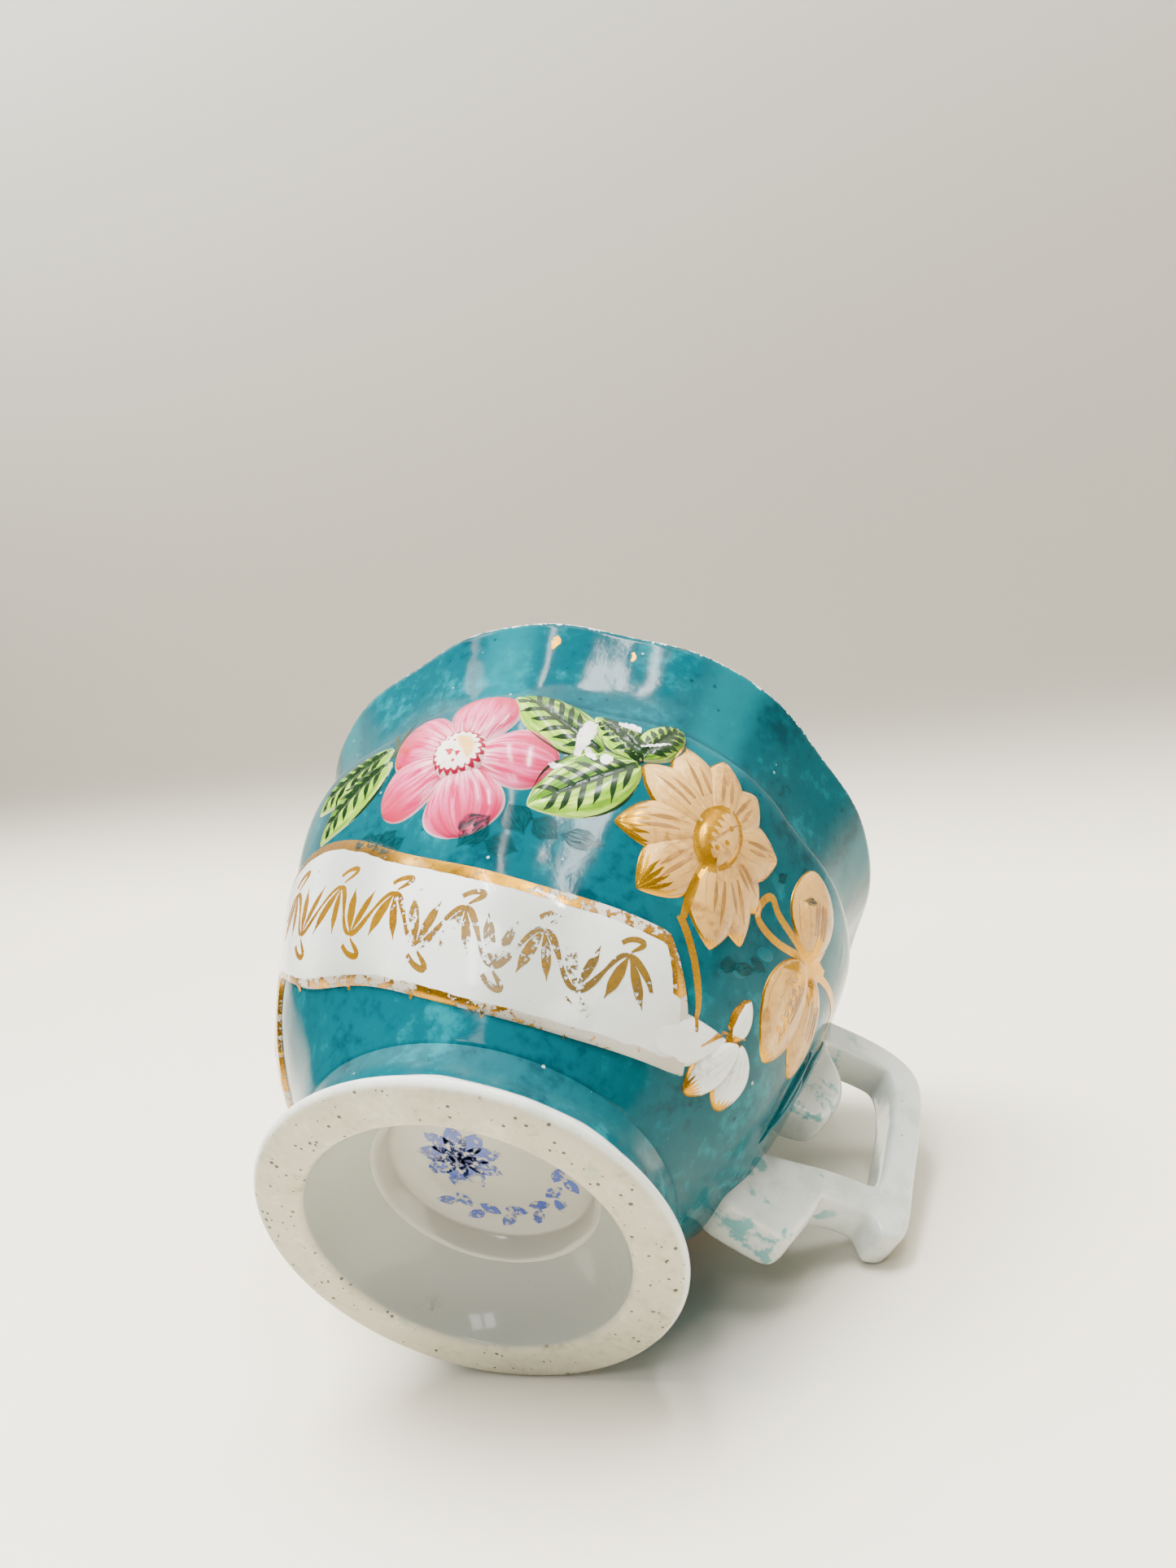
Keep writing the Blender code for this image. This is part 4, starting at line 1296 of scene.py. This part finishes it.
gold_leaf, bench, shader = glaze("gold_strokes", 0.3)
vector = bench.place_of()
gold = bench.gold(vector, 800.0, bench.kept("tag"))
rubbed = bench.band(bench.kept("tag"), 0.24, 0.52)
colour = bench.mix(bench.times(rubbed, 0.85), gold["Color"], pigment(88, 76, 44))
bench.plug(shader["Base Color"], colour)
bench.plug(shader["Metallic"], bench.between(rubbed, 0.7, 0.15))
bench.plug(shader["Roughness"], gold["Roughness"])
bench.plug(shader["Alpha"], gold["Mask"])
print("clay under the brush:", len(faces), "faces")

# %% Veins on the leaves
SIDE_VEINS = 6
# Each has its places, its width, and how full it is at its start and end.
STALKS = (
    (((267.4, 0.640), (263.0, 0.690), (258.6, 0.725)), 1.5, 0.9, 0.5),
    (((267.6, 0.640), (266.0, 0.648), (264.0, 0.652)), 1.2, 0.8, 0.15),
    (((216.8, 0.668), (219.0, 0.715), (221.0, 0.785)), 0.9, 0.9, 0.3),
    (((217.5, 0.690), (216.0, 0.735), (213.0, 0.770)), 0.7, 0.9, 0.2),
)


def veins(bm, side, base, tip, width, bend):
    """A midrib and slanted side veins on one leaf."""
    mean, run, normal = across_wall(base, tip)

    def place(u, aside):
        half = 0.5 * width * math.sin(math.pi * u**0.85) ** 0.75
        flat = run * u + normal * (aside * half + bend * math.sin(math.pi * u))
        return base[0] + math.degrees(flat.x / mean), base[1] + flat.y / HEIGHT

    stroke(bm, side, [place(u, 0.0) for u in (0.02, 0.3, 0.6, 0.86)], 1.05, start=1.0)
    for i in range(SIDE_VEINS):
        u = 0.12 + 0.70 * i / SIDE_VEINS
        for aside in (-1.0, 1.0):
            slip = 0.03 * math.sin(7.0 * i + aside + base[0])
            reach = 0.72 + 0.12 * math.sin(3.0 * i + base[0])
            path = [place(u + slip, 0.0), place(u + slip + 0.09, 0.42 * aside),
                    place(u + slip + 0.16, reach * aside)]
            stroke(bm, side, path, 0.84, start=0.9, end=0.1)
    for aside, low, high in ((1.0, 0.10, 0.62), (-1.0, 0.35, 0.90)):
        path = [place(low + (high - low) * i / 4, 0.94 * aside) for i in range(5)]
        stroke(bm, side, path, 0.36, start=0.2, end=0.1)


for name, side in SIDES:
    lines = fresh()
    for blades in LEAVES.values():
        for base, tip, width, bend in blades:
            veins(lines, side, base, tip, width, bend)
    for path, width, start, end in STALKS:
        stroke(lines, side, path, width, start, end)
    finish_piece("leaf_strokes_" + name, lines, (leaf_ink,), sharp=50)

# %% Gold strokes on the flowers


def arc(start, sweep, wide, high):
    """Places along part of an oval round the middle of the blossom."""
    turns = [math.radians(start + sweep * i / 12) for i in range(13)]
    return [(BLOSSOM[0] + wide * math.cos(turn), BLOSSOM[1] + high * math.sin(turn))
            for turn in turns]


# Each has its places, its width, how full it is at its start and end, how much of the gold is
# worn off, and how many faces it has across.
GOLD_STROKES = [
    (arc(-64, 150, 4.0, 0.0615), 1.0, 0.7, 0.2, 0.12, 2),
    (arc(95, 195, 3.7, 0.057), 2.3, 0.35, 0.9, 0.16, 4),
]
for i in range(6):
    angle, share = BLOSSOM[0], BLOSSOM[1] - 0.034 + 0.015 * i
    path = ((angle - 3.1, share), (angle - 1.9, share + 0.004), (angle - 0.8, share + 0.002))
    GOLD_STROKES.append((path, 0.65, 1.0, 0.2, 0.1, 2))
for angle, share in ((286.8, 0.556), (286.6, 0.585), (285.4, 0.536)):
    path = ((angle - 0.45, share), (angle + 0.45, share + 0.002))
    GOLD_STROKES.append((path, 0.75, 0.5, 0.5, 0.05, 2))
GOLD_STROKES += [
    (((284.8, 0.500), (284.6, 0.460), (285.6, 0.405)), 1.2, 1.0, 0.9, 0.2, 2),
    (((284.8, 0.404), (287.8, 0.384), (292.2, 0.350), (297.4, 0.303), (299.4, 0.270)),
     1.2, 1.0, 0.45, 0.15, 2),
    (((315.5, 0.538), (308.0, 0.512), (301.4, 0.513), (300.6, 0.545), (302.4, 0.570),
      (306.0, 0.556), (315.0, 0.546)), 1.25, 1.0, 1.0, 0.12, 2),
    (((315.2, 0.534), (319.2, 0.550), (324.4, 0.580)), 4.6, 0.5, 0.4, 0.1, 6),
]
FAN_TIPS = ((311.8, 0.486), (315.4, 0.470), (319.0, 0.478), (322.6, 0.490), (326.0, 0.500),
            (315.0, 0.606), (321.0, 0.610))
GOLD_STROKES += [(midway((318.6, 0.546), tip), 1.6, 1.0, 0.1, 0.12, 2) for tip in FAN_TIPS]
GOLD_STROKES.append((((322.0, 0.560), (329.0, 0.592), (337.0, 0.612), (341.0, 0.592),
                      (345.0, 0.585)), 1.3, 1.0, 0.7, 0.2, 2))
for i in range(6):
    angle, share = 315.3 + 0.55 * i, 0.495 - 0.020 * i
    path = ((angle - 0.9, share - 0.004), (angle + 0.8, share + 0.002),
            (angle + 2.4, share - 0.014))
    GOLD_STROKES.append((path, 0.85, 1.0, 0.1, 0.15, 2))
GOLD_STROKES += [
    (((302.5, 0.262), (306.0, 0.300), (309.5, 0.312), (312.5, 0.330)), 0.8, 0.3, 0.15, 0.3, 2),
    (((307.0, 0.318), (306.4, 0.345), (307.4, 0.378)), 0.8, 0.8, 0.4, 0.2, 2),
]
for angle, share, size in ((244.8, 0.945, 1.3), (244.4, 0.936, 0.9), (259.8, 0.942, 0.7)):
    path = ((angle, share - 0.010), (angle + 0.3, share), (angle - 0.2, share + 0.010))
    GOLD_STROKES.append((path, size, 0.6, 0.7, 0.05, 2))
print("gold strokes on each side:", len(GOLD_STROKES))

# %% Brown veins on the gilded petals
# The height of the mug is as long as this many degrees round the belly.
DEGREES_PER_HEIGHT = 105.0
VEIN_SPREAD = 0.16


def part_way(base, tip, shares, right, up):
    """Places at these shares of the way to the tip, each moved aside by this much."""
    return [(base[0] + (tip[0] - base[0]) * u + right, base[1] + (tip[1] - base[1]) * u + up)
            for u in shares]


BROWN_STROKES = []
for tip, _, _ in BLOSSOM_PETALS:
    for aside, low, high in ((-0.30, 0.42, 0.70), (0.24, 0.40, 0.80)):
        right = -(tip[1] - BLOSSOM[1]) * DEGREES_PER_HEIGHT * aside * VEIN_SPREAD * 1.1
        up = (tip[0] - BLOSSOM[0]) / DEGREES_PER_HEIGHT * aside * VEIN_SPREAD
        path = part_way(BLOSSOM, tip, (low, (low + high) / 2, high), right, up)
        BROWN_STROKES.append((path, 0.62, 0.5, 0.1))
BROWN_STROKES.append((((281.5, 0.500), (285.0, 0.560), (289.2, 0.632)), 0.28, 0.5, 0.3))
for base, tip, _, _ in SPRAY.values():
    for aside in (-1.5, -0.5, 0.6, 1.6):
        path = part_way(base, tip, (0.24, 0.42, 0.60), aside * 0.9, aside * 0.004)
        BROWN_STROKES.append((path, 0.55, 0.6, 0.1))
print("brown strokes on each side:", len(BROWN_STROKES))

# %% Draw the gold and the veins
for name, side in SIDES:
    gold_lines = fresh()
    for path, width, start, end, worn_off, across in GOLD_STROKES:
        stroke(gold_lines, side, path, width, start, end, tag=worn_off, across=across)
    finish_piece("gold_lines_" + name, gold_lines, (gold_leaf,), sharp=50)
    brown_lines = fresh()
    for path, width, start, end in BROWN_STROKES:
        stroke(brown_lines, side, path, width, start, end)
    finish_piece("brown_veins_" + name, brown_lines, (vein_ink,), sharp=50)

# %% [markdown]
# ## Scrolls on the ribbon
#
# The band carries a running gilt vine with curled tendrils. Years of handling have rubbed it, so
# it is still gold at the front, and near the handle it is a brown ghost with crumbs of gold.

# %% The running scroll
VINE_WAVES = 5.5
VINE_START = 0.530
VINE_LENGTH = 0.440
VINE_PARTS = 22
TENDRILS = 11


def on_ribbon(share, across):
    angle, height, _ = ribbon_place(VINE_START + VINE_LENGTH * share, across)
    return math.degrees(angle), height / HEIGHT


def vine(share):
    return 0.48 + 0.17 * math.sin(math.tau * VINE_WAVES * share)


def rubbed_at(share):
    return 0.10 + 0.38 * smooth((share - 0.15) / 0.5) + 0.04 * math.sin(31.0 * share)


for name, side in SIDES:
    scrolls = fresh()
    for i in range(VINE_PARTS):
        low, high = i / VINE_PARTS, (i + 1.15) / VINE_PARTS
        places = [low + (high - low) * j / 4 for j in range(5)]
        path = [on_ribbon(min(share, 1.0), vine(share)) for share in places]
        stroke(scrolls, side, path, 0.62 + 0.25 * (i % 2), start=0.7, end=0.5, tag=rubbed_at(low))
    for i in range(TENDRILS):
        share = (i + 0.5) / TENDRILS
        up = 1.0 if i % 2 == 0 else -1.0
        root = vine(share)
        rubbed = rubbed_at(share)
        curl = []
        for j in range(8):
            turn = 0.4 + 0.72 * j
            reach = 0.030 * (1.0 - 0.09 * j)
            rise = up * (0.04 + 4.6 * reach * math.sin(turn * 0.62))
            curl.append(on_ribbon(share + 0.012 - reach * math.cos(turn), root + rise))
        stroke(scrolls, side, curl, 0.75, start=0.8, end=0.35, tag=rubbed)
        for lean, size in ((-0.036, 1.5), (0.032, 1.2)):
            path = (on_ribbon(share, root), on_ribbon(share + 0.62 * lean, root - up * 0.20),
                    on_ribbon(share + lean, root - up * 0.34))
            stroke(scrolls, side, path, size, start=0.12, end=0.06, tag=rubbed, across=4)
        angle, height = on_ribbon(share + 0.004, root + up * 0.33)
        path = ((angle - 0.5, height), (angle + 0.5, height))
        stroke(scrolls, side, path, 0.9, start=0.6, end=0.6, tag=rubbed)
    finish_piece("ribbon_scrolls_" + name, scrolls, (gold_leaf,), sharp=50)

# %% [markdown]
# ## Wear and shadows in the paint
#
# Under the rose the painter dabbed dark leaves straight onto the ground colour, thin enough to
# see through. On the leaves, enamel has chipped off and the white body shows.

# %% Shadow leaves and chips
shadow_ink, bench, shader = glaze("shadow_leaf", 0.12, coat=0.0, specular=0.14)
drag = bench.drawn(2.0, 5.0, bench.kept("tag"), 2.0, 3.0)
bench.plug(shader["Base Color"], bench.mix(drag, pigment(4, 40, 46), pigment(10, 70, 72)))
soft_edge = bench.band(bench.kept("border"), 0.0, 0.4 * MM)
cover = bench.between(bench.band(drag, 0.35, 0.6), 0.85, 0.35)
bench.plug(shader["Alpha"], bench.times(soft_edge, cover))

chip_white, bench, shader = glaze("chipped_white", 0.35, coat=0.0, specular=0.4)
vector = bench.place_of()
rough_edge = bench.noise(vector, 1100.0, 4.0, 0.7)
body = bench.mix(rough_edge, pigment(226, 226, 218), pigment(250, 250, 246))
bench.plug(shader["Base Color"], body)
held = bench.scaled(rough_edge, -1.5 * MM, bench.kept("border"))
bench.plug(shader["Alpha"], bench.band(held, -0.62 * MM, -0.55 * MM))

SHADOW_LEAVES = (
    ((212.0, 0.500), (215.5, 0.470), 2.6), ((215.6, 0.492), (218.6, 0.452), 2.2),
    ((222.6, 0.476), (217.4, 0.444), 3.2), ((225.4, 0.452), (219.0, 0.430), 2.2),
    ((243.5, 0.470), (237.6, 0.412), 3.4),
    ((246.0, 0.500), (250.6, 0.445), 3.6), ((251.0, 0.480), (257.5, 0.450), 3.0),
    ((257.0, 0.462), (266.5, 0.458), 2.6), ((243.0, 0.425), (250.5, 0.412), 3.0),
    ((297.6, 0.380), (301.8, 0.418), 1.8), ((301.0, 0.400), (306.8, 0.440), 1.6),
    ((303.4, 0.442), (309.4, 0.452), 1.5), ((302.0, 0.604), (303.4, 0.640), 1.4),
    ((311.6, 0.640), (308.4, 0.616), 1.2), ((336.5, 0.500), (339.6, 0.470), 1.4),
)
CHIPS = (
    ((257.2, 0.704), (256.0, 0.622), 2.6), ((261.6, 0.712), (265.8, 0.716), 2.6),
    ((260.4, 0.622), (262.6, 0.626), 2.4), ((251.6, 0.588), (254.6, 0.592), 1.4),
    ((266.6, 0.668), (271.6, 0.692), 0.8), ((248.0, 0.752), (250.4, 0.746), 1.4),
    ((257.4, 0.640), (259.6, 0.616), 1.6),
)
for name, side in SIDES:
    shadows = fresh()
    for base, tip, width in SHADOW_LEAVES:
        stroke(shadows, side, midway(base, tip), 1.4 * width,
               start=0.1, end=0.1, lift=0.03 * MM, across=6, tag=base[0])
    finish_piece("shadow_leaves_" + name, shadows, (shadow_ink,), sharp=50)
    chips = fresh()
    for base, tip, width in CHIPS:
        stroke(chips, side, midway(base, tip), width,
               start=0.6, end=0.5, lift=0.09 * MM, across=6)
    finish_piece("chips_" + name, chips, (chip_white,), sharp=50)

# %% [markdown]
# ## The blue mark under the foot
#
# The base disc inside the foot has a soft blue printed ornament, smudged in the glaze. A plain
# wreath of small leaves round a blossom is made here from flat strokes on the disc.

# %% Base mark
mark_blue, bench, shader = glaze("underglaze_blue", 0.14, coat=0.3)
vector = bench.place_of()
blot = bench.noise(vector, 900.0, 4.0, 0.7)
wide = bench.noise(vector, 170.0, 2.0)
bench.plug(shader["Base Color"], bench.mix(wide, pigment(14, 40, 150), pigment(84, 112, 190)))
bench.plug(shader["Alpha"], bench.times(bench.band(blot, 0.40, 0.56), bench.band(wide, 0.30, 0.46)))
print("mark glaze:", mark_blue.name)


def mark_stroke(bm, centre, turn, length, width):
    """A flat leaf on the base disc, pointing out at this turn."""
    shares = patch(bm, 8, 4)
    for vert, (u, v) in shares.items():
        half = 0.5 * width * math.sin(math.pi * u) ** 0.8 if 0 < u < 1 else 0.0
        flat = Vector((length * u, (2 * v - 1) * half))
        flat.rotate(Matrix.Rotation(turn, 2))
        point = Vector((centre[0] + flat.x, centre[1] + flat.y, RECESS_CEILING - 0.04 * MM))
        put(bm, vert, point, 0.0, 0.0)
    bmesh.ops.translate(bm, verts=backed(bm, shares), vec=(0.0, 0.0, 0.2 * MM))


MARK_BLOSSOM = (AXIS_X - 4.5 * MM, 1.0 * MM)
BLOSSOM_LEAVES = 9
WREATH_RADIUS = 10.6 * MM
WREATH_LEAVES = 22
mark = fresh()
for i in range(BLOSSOM_LEAVES):
    mark_stroke(mark, MARK_BLOSSOM, math.tau * i / BLOSSOM_LEAVES, 6.6 * MM, 3.4 * MM)
for i in range(WREATH_LEAVES):
    turn = math.radians(-150 + 250 * i / (WREATH_LEAVES - 1))
    spot = (AXIS_X + WREATH_RADIUS * math.cos(turn), WREATH_RADIUS * math.sin(turn))
    mark_stroke(mark, spot, turn + (0.9 if i % 2 else 2.1), 3.6 * MM, 1.9 * MM)
finish_piece("base_mark", mark, (mark_blue,), sharp=50)

# %% [markdown]
# ## Floor, wall and light
#
# The mug keeps its own upright frame, so it is the floor that is tilted here: a plane laid
# against the three points that the mug rolls onto when it is put down on its side. The floor
# bends up into a wall behind. Both are seen from their front only, so that views from below
# the floor still show the mug. A large soft panel overhead stands in for daylight. The glaze
# doesn't mirror it, because one wide white patch would hide the colour: narrow panes and tubes
# beside it give the glaze its highlights.

# %% The resting floor
DOWN = Vector((0.5537, 0.7614, -0.3372)).normalized()
FLOOR_DISTANCE = 24.01 * MM
UP = -DOWN
AWAY = Vector((-0.0779, 0.4505, 0.8893))
AWAY = (AWAY - UP * AWAY.dot(UP)).normalized()
RIGHT = AWAY.cross(UP)
FLOOR_POINT = DOWN * FLOOR_DISTANCE
WALL_LEFT = Vector((-0.291, -0.0574, -0.631))
WALL_RIGHT = Vector((0.155, -0.0234, -0.336))
CAMERA_ROWS = (
    (0.92311, -0.38374, -0.02472, -0.01977),
    (-0.32533, -0.74509, -0.58223, -0.14642),
    (0.20501, 0.54551, -0.81265, -0.09543),
    (0.0, 0.0, 0.0, 1.0),
)
camera_place = Matrix(CAMERA_ROWS)


def on_floor(point):
    return point - UP * UP.dot(point - FLOOR_POINT)


wall_start = on_floor(camera_place @ WALL_LEFT)
wall_end = on_floor(camera_place @ WALL_RIGHT)
along_wall = (wall_end - wall_start).normalized()
to_wall = along_wall.cross(UP)
if to_wall.dot(AWAY) < 0:
    to_wall = -to_wall
middle = on_floor(Vector((0.0, 0.0, 0.0)))
gap = (wall_start - middle).dot(to_wall)
print("wall stands this far behind the mug, mm:", round(gap / MM))
COVE = 60.0 * MM
FLOOR_LENGTH = 1.2
STAGE_HALF_WIDTH = 1.6
BACKDROP_HEIGHT = 1.4
COVE_STEPS = 16
foot_of_wall = middle + to_wall * (gap - COVE)
profile = [foot_of_wall + to_wall * FLOOR_LENGTH * (i / 6 - 1) for i in range(6)]
for i in range(COVE_STEPS + 1):
    turn = math.radians(90.0 * i / COVE_STEPS)
    profile.append(foot_of_wall + (to_wall * math.sin(turn) + UP * (1 - math.cos(turn))) * COVE)
profile += [profile[-1] + UP * BACKDROP_HEIGHT * i / 6 for i in range(1, 7)]
stage_shape = bmesh.new()
verts = [stage_shape.verts.new(point - along_wall * STAGE_HALF_WIDTH) for point in profile]
edges = [stage_shape.edges.new(pair) for pair in zip(verts, verts[1:])]
swept = new_corners(bmesh.ops.extrude_edge_only(stage_shape, edges=edges))
bmesh.ops.translate(stage_shape, verts=swept, vec=along_wall * 2 * STAGE_HALF_WIDTH)
stage_shape.faces.ensure_lookup_table()
stage_shape.normal_update()
if stage_shape.faces[0].normal.dot(UP) < 0:
    bmesh.ops.reverse_faces(stage_shape, faces=stage_shape.faces)
stage_mesh = bpy.data.meshes.new("floor_and_wall")
stage_shape.to_mesh(stage_mesh)
stage_shape.free()
stage_mesh.polygons.foreach_set("use_smooth", [True] * len(stage_mesh.polygons))
floor = stand("floor_and_wall", stage_mesh)
floor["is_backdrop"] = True

PAPER = pigment(238, 231, 214)
PAPER_DEEP = pigment(234, 227, 210)
PAPER_PALE = pigment(241, 235, 219)
paper, bench, shader = glaze("pale_paper", 0.55, coat=0.0, specular=0.25)
vector = bench.place_of()
tone, _ = bench.sponge(vector, 9.0, PAPER, PAPER_DEEP, PAPER_PALE, 0.5)
over = bench.place("ShaderNodeVectorMath", {0: vector, 1: UP}, operation="DOT_PRODUCT")
over = bench.minus(over.outputs["Value"], FLOOR_POINT.dot(UP))
# Painted shade: the wall is darker than the floor, darkest just above the cove and lighter higher
# up.
painted_wall_shade = bench.mix(bench.band(over, 0.08, 0.55), pigment(150, 147, 137), pigment(204, 202, 196))
bench.plug(shader["Base Color"], bench.mix(bench.band(over, 0.0, 0.055), tone, painted_wall_shade))
surface = bench.tree.nodes["Principled BSDF"].outputs[0]
clear = bench.place("ShaderNodeBsdfTransparent").outputs[0]
behind = bench.place("ShaderNodeNewGeometry").outputs["Backfacing"]
sides = bench.place("ShaderNodeMixShader", {0: behind, 1: surface, 2: clear}).outputs[0]
bench.plug(bench.tree.nodes["Material Output"].inputs["Surface"], sides)
stage_mesh.materials.append(paper)

# %% Camera and light
lens = bpy.data.cameras.new("camera")
camera = stand("camera", lens)
bpy.context.scene.camera = camera
SENSOR = 36.0
lens.sensor_width = SENSOR
lens.lens = SENSOR * 1500.0 / 1927.0
lens.clip_start = 0.005
camera.matrix_world = camera_place

world = bpy.data.worlds.new("soft_room")
bpy.context.scene.world = world
world.use_nodes = True
world.node_tree.nodes["Background"].inputs["Color"].default_value = pigment(226, 236, 250)
world.node_tree.nodes["Background"].inputs["Strength"].default_value = 0.28


def panel(name, right, away, up, width, depth, watts, colour, mirrored):
    """A soft rectangular light over the floor, facing the mug. The glaze needn't mirror it."""
    light = bpy.data.lights.new(name, "AREA")
    light.shape = "RECTANGLE"
    light.size = width
    light.size_y = depth
    light.energy = watts
    light.color = colour
    holder = stand(name, light)
    holder.visible_glossy = mirrored
    place = middle + RIGHT * right + AWAY * away + UP * up
    facing = (place - middle).normalized()
    side = RIGHT - facing * facing.dot(RIGHT)
    side.normalize()
    turn = Matrix((side, facing.cross(side), facing)).transposed().to_4x4()
    holder.matrix_world = Matrix.Translation(place) @ turn


# Each has its place in metres right of, behind and over the mug, its width, depth and watts.
LIGHTS = (
    ("overhead_cloth", -0.25, 0.05, 0.95, 0.75, 0.60, 40.0, (1.0, 0.975, 0.935), False),
    ("right_cloth", 0.85, 0.25, 0.45, 0.50, 0.50, 0.9, (1.0, 0.98, 0.95), False),
    ("front_pane_left", -0.31, -0.70, 0.95, 0.14, 0.26, 1.7, (0.97, 0.99, 1.0), True),
    ("front_pane_right", -0.12, -0.70, 0.95, 0.14, 0.26, 1.7, (0.97, 0.99, 1.0), True),
    ("right_tube", 0.30, 0.0, 0.95, 0.035, 0.50, 5.2, (1.0, 1.0, 1.0), True),
    ("middle_tube", 0.02, 0.03, 0.95, 0.03, 0.40, 2.2, (1.0, 1.0, 1.0), True),
    ("left_pane", -0.42, 0.42, 0.95, 0.20, 0.20, 1.6, (1.0, 1.0, 1.0), True),
)
for light in LIGHTS:
    panel(*light)
print("camera at mm:", [round(v / MM) for v in camera.location])

# %% [markdown]
# ## Measure and finish
#
# The box of the painted model is measured and printed. The painted model has to stay
# inside the box of the engineering model.

# %% Finish
low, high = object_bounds()
print("visual box mm:", [round(v / MM, 2) for v in (*low, *high)])
print("pieces:", len(made_pieces))
